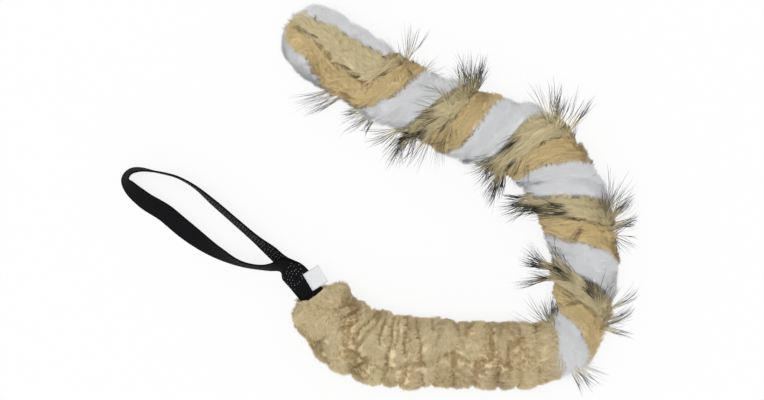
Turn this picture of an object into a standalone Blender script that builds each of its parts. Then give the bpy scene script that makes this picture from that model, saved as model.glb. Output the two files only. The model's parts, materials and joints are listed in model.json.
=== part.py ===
"""Bungee tug toy: a webbing hand loop, a gathered plush sleeve over a bungee, and a tail of three fur strips.

The toy lies on the plane z = 0 as if thrown down: the hand loop half standing on its edges at -X, the
sleeve along the front, the tail curling round from +X to the back. Every route is drawn from above in
millimetres and scaled to its stated length. Metres, +Z up, origin under the middle of the whole toy.
"""

import math

import bmesh
import bpy
import numpy as np
from mathutils import Matrix, Vector

MM = 0.001
GAP = 0.3 * MM  # between pieces that touch
STRIP_GAP = 1.4 * MM  # between twisted strips, whose facets reach inside their curve

# Hand loop: one length of flat webbing
WEBBING_WIDTH = 25 * MM
WEBBING_THICKNESS = 1.8 * MM
WEBBING_EDGE = 0.4 * MM  # rounding of the woven edges
LOOP_LENGTH = 461 * MM  # along the webbing, from one side of the neck round to the other
WEBBING_STEP = 5 * MM

# Woven label, folded once and sewn on the neck
LABEL_WIDTH = 17 * MM  # from the seam to the fold
LABEL_LENGTH = 18.5 * MM  # along the seam
LABEL_LEAF = 0.5 * MM
LABEL_SLIT = 0.4 * MM  # between its two leaves
NECK_WIND = 0.036  # how far the winding neck's edge rises over its middle, for each unit of its width

# Gathered plush sleeve
SLEEVE_LENGTH = 260 * MM
SLEEVE_CORE_HEIGHT = 25 * MM  # of the bungee's middle above the floor
MOUTH_DIP = 2.5 * MM  # the neck leaves the sleeve this much lower
MOUTH_GAP = 4.5 * MM  # from the fold of the neck to the sleeve's rim
RUCHES = 19
RUCHE_DEPTH = 2.2 * MM
SEAM_DEPTH = 3.0 * MM  # of the stitched line along the top
TACK_DEPTH = 4.5 * MM  # of the two points where the sleeve is sewn through
FLOOR_CUT = 0.5 * MM  # plush pressed flat on the floor
SLEEVE_SIDES = 24

# Bungee: one elastic cord, doubled
BUNGEE_DIAMETER = 8 * MM
BIGHT_FROM_MOUTH = 62 * MM
BUNGEE_END_SPREAD = 1.2 * MM  # clear between its two ends
BIGHT_SIDE = 1 * MM  # clear between the webbing's edge and the bight
EYE_CLEARANCE = 1.2 * MM  # round the bungee in the webbing's eye

# Tape cuff that binds the bungee's ends to the roots of the strips
CUFF_TAPE = 1.6 * MM
CUFF_CLEARANCE = 0.4 * MM
CUFF_BUNGEE_GRIP = 14 * MM
CUFF_STRIP_GRIP = 8 * MM

# Tail: three fur strips twisted round one another, pile included
TAIL_LENGTH = 505 * MM
TAIL_ROOT_DEPTH = 43 * MM  # inside the sleeve
TAIL_FLATNESS = 0.72  # height over width
TAIL_SETTLE = 0.6 * MM  # that the pile sinks under its weight
TWIST_LAY = 86 * MM  # one full turn of the strips
STRAIGHT_FROM = 378 * MM  # past here the twist opens
END_LAY = 400 * MM
TWIST_START = 16 * MM  # where the white strip first lies on top
STRIP_SHARES = [133, 117, 110]  # degrees of the tail's round that each strip takes
STRIP_BULGE = 0.16  # how far a strip's back drops towards its edges, of the half width
STRIP_STEP = 7 * MM
TIP_ROUNDING = 15 * MM
TAIL_JOINTS = [0, 85 * MM, 185 * MM, 285 * MM, 385 * MM]  # along the tail from the sleeve's rim

# Routes, seen from above in mm: x to the right, y away from the viewer
CORE_POINTS = [(-64, -94), (-55, -104.5), (-46, -119), (-33, -132), (-12, -143.5), (17, -150.5), (50, -153),
               (90, -154.5), (125, -156), (155, -155), (178, -150)]
TAIL_POINTS = [(178, -150), (188, -147.5), (198, -138.5), (205, -125), (208.5, -107), (211, -86), (211, -58),
               (206, -32), (198, -5), (188, 17), (172, 42), (151, 58), (123, 67), (82, 79), (53, 94),
               (21, 108), (-6, 124), (-29, 139), (-54, 156), (-82, 176)]
# The hand loop's middle line, with the lean of the webbing's upper edge away from the loop's inside in
# degrees and the height of its lower edge in mm
LOOP_POINTS = [(-64, -94, -90, 22.6), (-70.5, -86.5, -90, 20.8), (-77.1, -79.1, -84, 17.4),
               (-86.3, -72.3, -62, 9.8), (-96, -67, -28, 2.1), (-107, -68, -15, 0.2), (-132, -65, -12, 0),
               (-158, -53, -30, 0), (-186, -34, -48, 0), (-215, -10, -48, 0), (-231, 3, -44, 0),
               (-243, 14, -36, 0), (-248, 23, -28, 0), (-243, 30, -18, 0), (-233, 32, -8, 0),
               (-221, 30.5, 0, 0), (-206, 26, 2, 0), (-184, 15, 6, 0), (-162, -3, 14, 0), (-140, -22, 16, 0),
               (-118, -41, 20, 0), (-104, -52.5, 29, 0.3), (-93.8, -61.8, 33, 1.6), (-83.8, -69.9, 52, 3.9),
               (-76.2, -78.1, 78, 12.6), (-70.5, -86.5, 90, 18.2), (-64, -94, 90, 20.5)]
LABEL_SEAM = [(-71.7, -75.5), (-60.7, -93.3)]  # its two ends on the neck, in mm

# Half widths at distances along the sleeve and the tail, in mm
SLEEVE_OUTSIDE = [(0, 24), (5, 28.5), (18, 32), (45, 36), (95, 36), (140, 34), (200, 33), (242, 31.5),
                  (254, 29), (260, 25.5)]
# Room inside the sleeve past what runs through it, at distances along it in mm: beside the webbing at its
# mouth, beside and over the eye and the bight round it, beside the bungee's two runs, and round the cuff
# and the tail
BORE_CLEARANCE = [(0, 2, 2.45), (28, 4, 1), (48, 3, 3), (76, 3, 3), (110, 0, 3), (185, 7.3, 6), (212, 0, 0.35),
                  (260, 2.5, 2.1)]
SLEEVE_DRAWN = SLEEVE_OUTSIDE[-1][0] * MM  # the lists stretch with the sleeve and with the tail outside it
SLEEVE_LOFT = 0.76  # height over width above the core
TAIL_HALF_WIDTH = [(-43, 12), (-20, 16), (0, 20), (16, 28), (45, 26), (90, 32), (150, 35.5), (240, 36.5),
                   (300, 36), (340, 33.5), (380, 35), (450, 36), (505, 35)]
TAIL_DRAWN = TAIL_HALF_WIDTH[-1][0] * MM

STRIPS = ["white_strip", "tan_strip", "long_hair_strip"]


class Route:
    """A smooth line through rows of numbers (x, y and any others), read by the distance along it."""

    def __init__(self, rows, length):
        rows = np.array(rows, float)
        rows[:, :2] *= MM
        steps = np.linalg.norm(np.diff(rows[:, :2], axis=0), axis=1)
        at = np.concatenate([[0], np.cumsum(steps)])
        slopes = np.diff(rows, axis=0) / steps[:, None]
        inner = slopes[:-1] * steps[1:, None] + slopes[1:] * steps[:-1, None]
        inner /= (steps[:-1] + steps[1:])[:, None]
        slopes = np.vstack([slopes[:1], inner, slopes[-1:]])
        fine = np.linspace(0, at[-1], 1500)
        span = np.clip(np.searchsorted(at, fine, side="right") - 1, 0, len(steps) - 1)
        h = steps[span][:, None]
        u = ((fine - at[span]) / steps[span])[:, None]
        self.rows = (
            rows[span] * (2 * u**3 - 3 * u**2 + 1)
            + slopes[span] * h * (u**3 - 2 * u**2 + u)
            + rows[span + 1] * (3 * u**2 - 2 * u**3)
            + slopes[span + 1] * h * (u**3 - u**2)
        )
        start = self.rows[0, :2].copy()
        drawn = np.linalg.norm(np.diff(self.rows[:, :2], axis=0), axis=1).sum()
        self.rows[:, :2] = start + (self.rows[:, :2] - start) * (length / drawn)
        moves = np.linalg.norm(np.diff(self.rows[:, :2], axis=0), axis=1)
        self.along = np.concatenate([[0], np.cumsum(moves)])
        self.length = self.along[-1]

    def moved(self, to):
        """The same route with its start moved to a point."""
        self.rows[:, :2] += np.array(to) - self.rows[0, :2]
        return self

    def at(self, distance):
        return np.stack([np.interp(distance, self.along, column) for column in self.rows.T], axis=-1)

    def place(self, distance):
        """Point, direction and left-hand side at a distance, which may lie past either end."""
        inside = np.clip(distance, 0, self.length)
        step = 0.5 * MM
        ahead = self.at(np.minimum(inside + step, self.length))[..., :2]
        behind = self.at(np.maximum(inside - step, 0))[..., :2]
        direction = ahead - behind
        direction /= np.linalg.norm(direction, axis=-1, keepdims=True)
        point = self.at(inside)[..., :2] + direction * (distance - inside)[..., None]
        left = np.stack([-direction[..., 1], direction[..., 0]], axis=-1)
        return point, direction, left


def smooth(value, low, high):
    u = np.clip((value - low) / (high - low), 0, 1)
    return u * u * (3 - 2 * u)


def spread(rows, distance):
    """A half width from a list in mm, at a distance in metres."""
    table = np.array(rows, float) * MM
    return np.interp(distance, table[:, 0], table[:, 1])


def tail_half(distance):
    """Half the tail's width at a distance from the sleeve's rim; past it the list stretches with the tail."""
    drawn = np.where(np.asarray(distance) > 0, distance * TAIL_DRAWN / TAIL_LENGTH, distance)
    return float(spread(TAIL_HALF_WIDTH, drawn))


def clear_scene():
    for thing in list(bpy.data.objects):
        bpy.data.objects.remove(thing)


def material(name, colour, roughness):
    made = bpy.data.materials.new(name)
    made.use_nodes = True
    shader = made.node_tree.nodes["Principled BSDF"]
    shader.inputs["Base Color"].default_value = (*colour, 1)
    shader.inputs["Roughness"].default_value = roughness
    shader.inputs["Metallic"].default_value = 0
    return made


def finished(bm, name, finish, smooth_angle=50):
    """The named object of a bmesh, smooth except over its sharp edges."""
    bmesh.ops.recalc_face_normals(bm, faces=bm.faces)
    mesh = bpy.data.meshes.new(name)
    bm.to_mesh(mesh)
    bm.free()
    mesh.shade_smooth()
    mesh.set_sharp_from_angle(angle=math.radians(smooth_angle))
    mesh.materials.append(finish)
    made = bpy.data.objects.new(name, mesh)
    bpy.context.scene.collection.objects.link(made)
    return made


def lofted(rings, looped=False, split_back=None):
    """A closed skin over rings of points: capped at both ends, or joined end to end like a tyre.

    With split_back, each quad is split in two along its diagonal, and the columns named there along the other.
    """
    bm = bmesh.new()
    loops = [[bm.verts.new(point) for point in ring] for ring in rings]
    pairs = list(zip(loops[:-1], loops[1:]))
    if looped:
        pairs.append((loops[-1], loops[0]))
    for one, other in pairs:
        for i in range(len(one)):
            j = (i + 1) % len(one)
            if split_back is None:
                bm.faces.new((one[i], one[j], other[j], other[i]))
            elif i in split_back:
                bm.faces.new((one[i], one[j], other[i]))
                bm.faces.new((one[j], other[j], other[i]))
            else:
                bm.faces.new((one[i], one[j], other[j]))
                bm.faces.new((one[i], other[j], other[i]))
    if not looped:
        bm.faces.new(loops[0])
        bm.faces.new(loops[-1])
    return bm


def strap_rings(middles, directions, widths):
    """Sections of the webbing, a flat bar with rounded edges, at points along it."""
    half, thin, edge = WEBBING_WIDTH / 2, WEBBING_THICKNESS / 2, WEBBING_EDGE
    corners = [(half, thin - edge), (half - edge, thin), (edge - half, thin), (-half, thin - edge),
               (-half, edge - thin), (edge - half, -thin), (half - edge, -thin), (half, edge - thin)]
    rings = []
    for middle, direction, width in zip(middles, directions, widths):
        across = width - direction * width.dot(direction)
        across.normalize()
        through = direction.cross(across)
        rings.append([middle + across * a + through * b for a, b in corners])
    return rings


def directions_of(points):
    ends = [points[0]] + points + [points[-1]]
    return [(after - before).normalized() for before, after in zip(ends[:-2], ends[2:])]


def handle_strap(finish):
    """The loop and the doubled neck up to its fold, as one length of webbing that turns as it goes round."""
    route = Route(LOOP_POINTS, LOOP_LENGTH)
    stations = np.linspace(0, route.length, round(route.length / WEBBING_STEP) + 1)
    rows = route.at(stations)
    _, _, outward = route.place(stations)
    lean = np.radians(rows[:, 2])
    standing = np.abs(np.cos(lean)) * WEBBING_WIDTH / 2 + np.abs(np.sin(lean)) * WEBBING_THICKNESS / 2
    heights = np.maximum(rows[:, 3], 0) * MM + standing
    middles = [Vector((x, y, z)) for (x, y), z in zip(rows[:, :2], heights)]
    widths = [
        Vector((out[0] * math.sin(a), out[1] * math.sin(a), math.cos(a))) for out, a in zip(outward, lean)
    ]
    return finished(lofted(strap_rings(middles, directions_of(middles), widths)), "handle_strap", finish)


def core_height(distance):
    """Height of the core line above the floor, which dips towards the neck."""
    return SLEEVE_CORE_HEIGHT - MOUTH_DIP * (1 - smooth(distance, -MOUTH_GAP, 30 * MM))


def on_core(core, distance, aside, up):
    """A point beside and above the core line, at a distance from the sleeve's rim."""
    distance = np.asarray(distance, float)
    point, _, left = core.place(distance + MOUTH_GAP)
    flat = point + left * aside
    return Vector((flat[0], flat[1], core_height(distance) + up))


def neck_webbing(core, finish):
    """The two plies inside the sleeve and the eye that they fold into round the bungee's bight."""
    ply = (WEBBING_THICKNESS + GAP) / 2
    eye = BUNGEE_DIAMETER / 2 + EYE_CLEARANCE + WEBBING_THICKNESS / 2
    opening = 3 * eye
    straight = np.linspace(2 * GAP - MOUTH_GAP, BIGHT_FROM_MOUTH - opening, 12)
    flare = np.linspace(BIGHT_FROM_MOUTH - opening, BIGHT_FROM_MOUTH, 6)[1:]
    turn = np.radians(np.linspace(90, -90, 13))[1:-1]
    upper = [(s, ply) for s in straight]
    upper += [(s, ply + (eye - ply) * smooth(s, BIGHT_FROM_MOUTH - opening, BIGHT_FROM_MOUTH)) for s in flare]
    line = upper + [(BIGHT_FROM_MOUTH + eye * math.cos(a), eye * math.sin(a)) for a in turn]
    line += [(s, -up) for s, up in reversed(upper)]
    middles = [on_core(core, s, 0, up) for s, up in line]
    widths = []
    for s, _ in line:
        _, _, left = core.place(np.asarray(s + MOUTH_GAP))
        widths.append(Vector((left[0], left[1], 0)))
    return finished(lofted(strap_rings(middles, directions_of(middles), widths)), "neck_webbing", finish)


def label_frame():
    """Corner of the label's seam, and its directions along the seam, away from it and up off the neck."""
    fold, before = [Vector(row[:2] + row[3:]) * MM for row in LOOP_POINTS[:2]]
    neck = (fold - before).normalized()
    off = neck.cross(Vector((-neck.y, neck.x, 0))).normalized()
    corners = []
    for x, y in LABEL_SEAM:
        corner = Vector((x, y, 0)) * MM
        corner.z = before.z - off.dot(corner - Vector((before.x, before.y, 0))) / off.z
        corners.append(corner + off * (WEBBING_THICKNESS + NECK_WIND * WEBBING_WIDTH))
    along = (corners[1] - corners[0]).normalized()
    return corners[0], along, off.cross(along), off


def label(finish):
    """A ribbon folded on itself: two leaves that meet in a round fold at its free edge."""
    start, along, away, up = label_frame()
    outer = LABEL_LEAF + LABEL_SLIT / 2
    fold = LABEL_WIDTH - outer
    turn = np.radians(np.linspace(-90, 90, 7))
    profile = [(0, 0)]
    profile += [(fold + outer * math.cos(a), outer + outer * math.sin(a)) for a in turn]
    profile += [(0, 2 * outer), (0, 2 * outer - LABEL_LEAF)]
    profile += [
        (fold + LABEL_SLIT / 2 * math.cos(a), outer + LABEL_SLIT / 2 * math.sin(a)) for a in reversed(turn)
    ]
    profile += [(0, LABEL_LEAF)]
    bm = bmesh.new()
    face = bm.faces.new([bm.verts.new(start + away * a + up * b) for a, b in profile])
    side = bmesh.ops.extrude_face_region(bm, geom=[face])["geom"]
    moved = [part for part in side if isinstance(part, bmesh.types.BMVert)]
    bmesh.ops.translate(bm, verts=moved, vec=along * LABEL_LENGTH)
    return finished(bm, "label", finish, 30)


def sleeve_section(distance, ruche):
    """Half widths left and right, and heights above and below the core, round one ring of the sleeve."""
    turn = np.linspace(0, 2 * math.pi, SLEEVE_SIDES, endpoint=False)
    wide = spread(SLEEVE_OUTSIDE, distance * SLEEVE_DRAWN / SLEEVE_LENGTH)
    upward = np.maximum(np.sin(turn), 0)
    down = np.maximum(-np.sin(turn), 0)
    body = smooth(distance, 0, 14 * MM) * smooth(SLEEVE_LENGTH - distance, 0, 14 * MM)
    pressed = down**2 * body
    puff = ruche * RUCHE_DEPTH * (1 - pressed) * (0.62 + 0.38 * np.cos(turn - 0.9))
    tacks = (BIGHT_FROM_MOUTH, SLEEVE_LENGTH - TAIL_ROOT_DEPTH)
    seam = smooth(distance, tacks[0] - 20 * MM, tacks[0]) * smooth(tacks[1] - distance, -20 * MM, 0)
    groove = np.exp(-(((turn - math.pi / 2) / 0.24) ** 2)) * SEAM_DEPTH * seam
    near = max(math.exp(-(((distance - tack) / (9 * MM)) ** 2)) for tack in tacks)
    dimple = np.exp(-(((turn - math.pi / 2) / 0.42) ** 2)) * TACK_DEPTH * near
    radius = wide + puff - groove - dimple
    above = radius * SLEEVE_LOFT * upward
    deep = SLEEVE_CORE_HEIGHT + FLOOR_CUT
    below = (radius * SLEEVE_LOFT * (1 - body) + deep * body) * down
    return radius * np.cos(turn), above - below


def bore_rows():
    """Place, half width and half height of the sleeve's bore at each row of its clearances."""
    plies = (WEBBING_WIDTH / 2, WEBBING_THICKNESS + GAP / 2)
    eye = (WEBBING_WIDTH / 2, BUNGEE_DIAMETER / 2 + EYE_CLEARANCE + WEBBING_THICKNESS)
    bight = (WEBBING_WIDTH / 2 + BIGHT_SIDE + BUNGEE_DIAMETER, eye[1])
    runs = (BUNGEE_DIAMETER + BUNGEE_END_SPREAD / 2, BUNGEE_DIAMETER / 2)
    gripped, rim = tail_half(CUFF_STRIP_GRIP - TAIL_ROOT_DEPTH), tail_half(0)
    wound = CUFF_CLEARANCE + CUFF_TAPE
    cuff = (gripped + wound, gripped * TAIL_FLATNESS + wound)
    room = [plies, eye, bight, bight, bight, runs, cuff, (rim, rim * TAIL_FLATNESS)]
    rows = []
    for (place, beside, over), (wide, high) in zip(BORE_CLEARANCE, room):
        rows.append((place * MM * SLEEVE_LENGTH / SLEEVE_DRAWN, wide + beside * MM, high + over * MM))
    return rows


def sleeve(core, finish):
    """The plush tube, gathered over the bungee, with the bore that its works run through."""
    stations = np.linspace(0, SLEEVE_LENGTH, 2 * RUCHES + 1)
    rings = []
    for i, distance in enumerate(stations):
        ruche = -1 if i % 2 == 0 else 0.75 + 0.25 * math.sin(2.4 * i)
        aside, up = sleeve_section(distance, ruche)
        rings.append([on_core(core, distance, a, b) for a, b in zip(aside, up)])
    turn = np.linspace(0, 2 * math.pi, SLEEVE_SIDES, endpoint=False)
    for distance, wide, high in reversed(bore_rows()):
        rings.append([on_core(core, distance, wide * math.cos(a), high * math.sin(a)) for a in turn])
    bm = lofted(rings, looped=True)
    everything = bm.verts[:] + bm.edges[:] + bm.faces[:]
    cut = bmesh.ops.bisect_plane(
        bm, geom=everything, plane_co=(0, 0, 0), plane_no=(0, 0, -1), clear_outer=True, dist=1e-7
    )
    bmesh.ops.holes_fill(bm, edges=[e for e in cut["geom_cut"] if isinstance(e, bmesh.types.BMEdge)])
    return finished(bm, "sleeve", finish)


def bungee_cord(core, finish):
    """The doubled elastic: out from the cuff, across through the webbing's eye and back."""
    half = BUNGEE_DIAMETER / 2
    wide = WEBBING_WIDTH / 2 + BIGHT_SIDE + half
    tight = half + BUNGEE_END_SPREAD / 2
    far = SLEEVE_LENGTH - TAIL_ROOT_DEPTH - 2 * GAP
    corner = 7 * MM
    run = np.linspace(far, BIGHT_FROM_MOUTH + corner, 14)
    beside = tight + (wide - tight) * (1 - smooth(run, BIGHT_FROM_MOUTH + 16 * MM, far - 24 * MM))
    side = list(zip(run, beside))
    for a in np.radians([30, 60, 90]):
        side.append((BIGHT_FROM_MOUTH + corner * (1 - math.sin(a)), wide - corner * (1 - math.cos(a))))
    line = side + [(BIGHT_FROM_MOUTH, 0)] + [(s, -aside) for s, aside in reversed(side)]
    curve = bpy.data.curves.new("bungee_cord", "CURVE")
    curve.dimensions = "3D"
    spline = curve.splines.new("POLY")
    spline.points.add(len(line) - 1)
    for point, (s, aside) in zip(spline.points, line):
        point.co = (*on_core(core, s, aside, 0), 1)
    curve.bevel_depth = half
    curve.bevel_resolution = 2
    curve.use_fill_caps = True
    curve.materials.append(finish)
    made = bpy.data.objects.new("bungee_cord", curve)
    bpy.context.scene.collection.objects.link(made)
    return made


def tail_root_cuff(core, finish):
    """Tape wound round the bungee's two ends and the three strips' roots."""
    start = SLEEVE_LENGTH - TAIL_ROOT_DEPTH
    cords = (BUNGEE_DIAMETER / 2, BUNGEE_DIAMETER / 2, (BUNGEE_DIAMETER + BUNGEE_END_SPREAD) / 2)
    strips = [tail_half(d) for d in (-TAIL_ROOT_DEPTH, CUFF_STRIP_GRIP - TAIL_ROOT_DEPTH)]
    sections = [
        (start - CUFF_BUNGEE_GRIP, *cords),
        (start - 3 * MM, *cords),
        (start - GAP, strips[0], strips[0] * TAIL_FLATNESS, 0),
        (start + CUFF_STRIP_GRIP, strips[1], strips[1] * TAIL_FLATNESS, 0),
    ]
    turn = np.linspace(0, 2 * math.pi, 20, endpoint=False)
    rings = []
    for grow, order in ((CUFF_CLEARANCE + CUFF_TAPE, sections), (CUFF_CLEARANCE, sections[::-1])):
        for distance, wide, high, apart in order:
            aside = np.cos(turn) * (wide + grow) + np.sign(np.cos(turn).round(6)) * apart
            up = np.sin(turn) * (high + grow)
            rings.append([on_core(core, distance, a, b) for a, b in zip(aside, up)])
    return finished(lofted(rings, looped=True), "tail_root_cuff", finish)


def twist(distance):
    """Angle of the white strip from the top of the tail, in radians, growing to the left."""
    tight = np.minimum(distance, STRAIGHT_FROM) - TWIST_START
    loose = np.maximum(distance - STRAIGHT_FROM, 0)
    return 2 * math.pi * (tight / TWIST_LAY + loose / END_LAY)


def tail_height(distance):
    """Height of the tail's middle: that of the core inside the sleeve, resting on the floor outside."""
    resting = tail_half(distance) * TAIL_FLATNESS - TAIL_SETTLE
    outside = smooth(distance, 0, 30 * MM)
    return SLEEVE_CORE_HEIGHT * (1 - outside) + resting * outside


def tail_place(core, tail, distance):
    """Point and left-hand side of the tail's middle, which follows the core inside the sleeve."""
    route, along = (core, core.length + distance) if distance < 0 else (tail, distance)
    point, _, left = route.place(np.asarray(along))
    return point, left


def strip_section(half, span):
    """Corners of a strip's section as (angle from its middle, distance from the tail's middle).

    A rounded wedge: seven along its bulging back, and three down each side to the point near the middle.
    """
    back = [(span * k, half * (1 - STRIP_BULGE * k**4)) for k in np.linspace(0.84, -0.84, 7)]
    sides = [(span - math.asin(STRIP_GAP / 2 / reach), reach) for reach in (0.8 * half, 0.5 * half, 0.2 * half)]
    point = (0, 0.65 * STRIP_GAP / math.sin(span))
    return back + [(-angle, reach) for angle, reach in sides] + [point] + sides[::-1]


def strip_middle(number):
    """Angle from the middle of the first strip's back to that of another's, in radians."""
    before = sum(STRIP_SHARES[:number]) + (STRIP_SHARES[number] - STRIP_SHARES[0]) / 2
    return math.radians(before)


def strip_ring(core, tail, distance, number, shrink=1.0):
    """One strip's section, flattened with the tail and on the floor, where it lies among the other two."""
    half = tail_half(distance)
    span = math.radians(STRIP_SHARES[number]) / 2
    middle = twist(distance) - strip_middle(number)
    point, left = tail_place(core, tail, distance)
    height = float(tail_height(distance))
    heart = 0.5 * half
    ring = []
    for angle, reach in strip_section(half, span):
        out = heart + (reach * math.cos(angle) - heart) * shrink
        beside = reach * math.sin(angle) * shrink
        aside = out * math.sin(middle) + beside * math.cos(middle)
        up = (out * math.cos(middle) - beside * math.sin(middle)) * TAIL_FLATNESS
        flat = point + left * aside
        ring.append(Vector((flat[0], flat[1], max(height + up, 0))))
    return ring


def tail_strip(core, tail, number, name, start, end, finish):
    """A stretch of one strip between two bends of the tail; the last stretch ends in a round tip."""
    last = end >= TAIL_LENGTH
    stop = TAIL_LENGTH - TIP_ROUNDING if last else end - GAP
    begin = start + GAP
    stations = np.linspace(begin, stop, math.ceil((stop - begin) / STRIP_STEP) + 1)
    rings = [strip_ring(core, tail, s, number) for s in stations]
    if last:
        for u in (0.45, 0.75, 0.93, 1.0):
            shrink = max(math.sqrt(1 - u * u), 0.12)
            rings.append(strip_ring(core, tail, stop + TIP_ROUNDING * u, number, shrink))
    return finished(lofted(rings, split_back=(10, 11, 12)), name, finish)


def pivot(name, parent, place):
    """An empty on a joint's axis, which carries the pieces that turn or slide with it."""
    made = bpy.data.objects.new(name, None)
    made.empty_display_size = 0.02
    made.parent = parent
    made["place"] = place
    made.location = Vector(place) - Vector(parent["place"] if parent else (0, 0, 0))
    bpy.context.scene.collection.objects.link(made)
    return made


def hang(piece, carrier):
    """Puts a piece drawn in place on a pivot, with its origin on the joint's axis."""
    piece.data.transform(Matrix.Translation(-Vector(carrier["place"])))
    piece.parent = carrier


def bottom_middle(pieces):
    """The point of the floor under the middle of the box round all the pieces."""
    points = np.vstack(
        [np.array([vertex.co for vertex in piece.data.vertices]) for piece in pieces if piece.type == "MESH"]
    )
    low, high = points.min(axis=0), points.max(axis=0)
    return Vector(((low[0] + high[0]) / 2, (low[1] + high[1]) / 2, low[2]))


def main():
    clear_scene()
    black_webbing = material("black_webbing", (0.013, 0.013, 0.014), 0.75)
    white_ribbon = material("white_ribbon", (0.82, 0.83, 0.82), 0.6)
    beige_plush = material("beige_plush", (0.56, 0.41, 0.23), 0.95)
    elastic = material("elastic", (0.05, 0.05, 0.055), 0.7)
    tape = material("tape", (0.5, 0.42, 0.3), 0.85)
    furs = [
        material("white_fur", (0.8, 0.81, 0.82), 0.9),
        material("tan_fur", (0.58, 0.41, 0.2), 0.9),
        material("long_hair_fur", (0.4, 0.33, 0.2), 0.8),
    ]
    core = Route(CORE_POINTS, MOUTH_GAP + SLEEVE_LENGTH)
    rim = core.at(core.length)[:2]
    tail = Route(TAIL_POINTS, TAIL_LENGTH).moved(rim)

    carried = {
        "sleeve_body": [neck_webbing(core, black_webbing), sleeve(core, beige_plush), bungee_cord(core, elastic)],
        "handle_fold": [handle_strap(black_webbing)],
        "label_flap": [label(white_ribbon)],
        "bungee_stretch": [tail_root_cuff(core, tape)],
    }
    bends = [-TAIL_ROOT_DEPTH, *TAIL_JOINTS, TAIL_LENGTH]
    for i, (start, end) in enumerate(zip(bends[:-1], bends[1:])):
        carrier = "bungee_stretch" if i == 0 else f"tail_bend_{i}"
        carried.setdefault(carrier, [])
        for number, strip in enumerate(STRIPS):
            name = f"{strip}_{i}" if i else f"{strip}_root"
            carried[carrier].append(tail_strip(core, tail, number, name, start, end, furs[number]))

    pieces = [piece for group in carried.values() for piece in group]
    seam, _, _, up = label_frame()
    fold = Vector((*core.at(0)[:2], float(core_height(-MOUTH_GAP))))
    places = {
        "handle_fold": ("sleeve_body", fold),
        "label_flap": ("handle_fold", seam + up * (2 * LABEL_LEAF + LABEL_SLIT)),
        "bungee_stretch": ("sleeve_body", on_core(core, SLEEVE_LENGTH - TAIL_ROOT_DEPTH, 0, 0)),
    }
    for i, distance in enumerate(TAIL_JOINTS, start=1):
        point, _, _ = tail.place(np.asarray(float(distance)))
        before = "bungee_stretch" if i == 1 else f"tail_bend_{i - 1}"
        places[f"tail_bend_{i}"] = (before, Vector((*point, float(tail_height(distance)))))
    under = bottom_middle(pieces)
    body = pivot("sleeve_body", None, (0, 0, 0))
    body.location = -under
    pivots = {"sleeve_body": body}
    for name, (parent, place) in places.items():
        pivots[name] = pivot(name, pivots[parent], place)
    for name, group in carried.items():
        for piece in group:
            hang(piece, pivots[name])
    bpy.context.view_layer.update()


main()
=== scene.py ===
"""Looks of a bungee tug toy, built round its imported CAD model.

The toy lies on the floor: a webbing hand loop, a gathered plush sleeve over a doubled bungee, and a tail of
three fur strips twisted round one another. Every pile is made of real tapered hairs. Lengths are in metres.
"""

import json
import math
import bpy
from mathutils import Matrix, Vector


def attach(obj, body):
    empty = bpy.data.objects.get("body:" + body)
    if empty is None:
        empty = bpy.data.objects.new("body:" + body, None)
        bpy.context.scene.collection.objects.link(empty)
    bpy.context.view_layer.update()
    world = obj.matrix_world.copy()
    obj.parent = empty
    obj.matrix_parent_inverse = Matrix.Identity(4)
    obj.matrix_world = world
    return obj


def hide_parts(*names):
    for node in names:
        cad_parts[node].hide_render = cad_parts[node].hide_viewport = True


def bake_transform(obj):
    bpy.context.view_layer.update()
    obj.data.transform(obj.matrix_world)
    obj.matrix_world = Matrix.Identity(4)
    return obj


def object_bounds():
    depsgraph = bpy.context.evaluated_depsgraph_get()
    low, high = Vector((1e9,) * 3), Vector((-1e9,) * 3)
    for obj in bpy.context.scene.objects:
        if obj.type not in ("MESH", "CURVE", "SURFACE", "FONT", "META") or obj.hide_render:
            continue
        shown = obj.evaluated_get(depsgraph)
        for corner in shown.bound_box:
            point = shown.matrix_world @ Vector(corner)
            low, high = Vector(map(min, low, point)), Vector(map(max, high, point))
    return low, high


bl_info = {
    "name": "Bungee Tug Toy",
    "version": (1, 0, 0),
    "blender": (4, 5, 0),
    "location": "3D View > Sidebar > Tug Toy",
    "description": "Webbing hand loop, gathered plush sleeve and twisted fur tail of a dog's tug toy",
    "category": "Add Mesh",
}

import bpy
import numpy as np
from bpy.props import FloatProperty, FloatVectorProperty, PointerProperty

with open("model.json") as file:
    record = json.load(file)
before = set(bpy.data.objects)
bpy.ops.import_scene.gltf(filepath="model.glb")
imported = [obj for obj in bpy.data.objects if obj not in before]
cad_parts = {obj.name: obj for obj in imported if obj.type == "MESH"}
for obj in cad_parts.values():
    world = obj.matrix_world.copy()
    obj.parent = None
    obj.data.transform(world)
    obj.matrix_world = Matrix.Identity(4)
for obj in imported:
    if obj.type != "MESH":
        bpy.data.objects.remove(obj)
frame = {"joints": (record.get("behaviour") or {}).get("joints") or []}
CAD_BOX = [list(corner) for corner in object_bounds()]
JOINTS = {joint["name"]: joint for joint in frame["joints"]}

MM = 0.001
GAP = 0.3 * MM
FLOOR = 0.35 * MM  # lowest that a hair or thread may hang
# Outside its box a hair is bent in, into the room left
HAIR_BOX = np.array(CAD_BOX[1]) + np.array([8, 6, -2.4]) * MM
HAIR_ROOM = np.array([14, 12, 11]) * MM
HAIR_SINK = 0.8 * MM  # of a hair's root under the cloth
BAKE_UV = "OFBake"
WEAVE_UV = "Weave"

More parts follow.
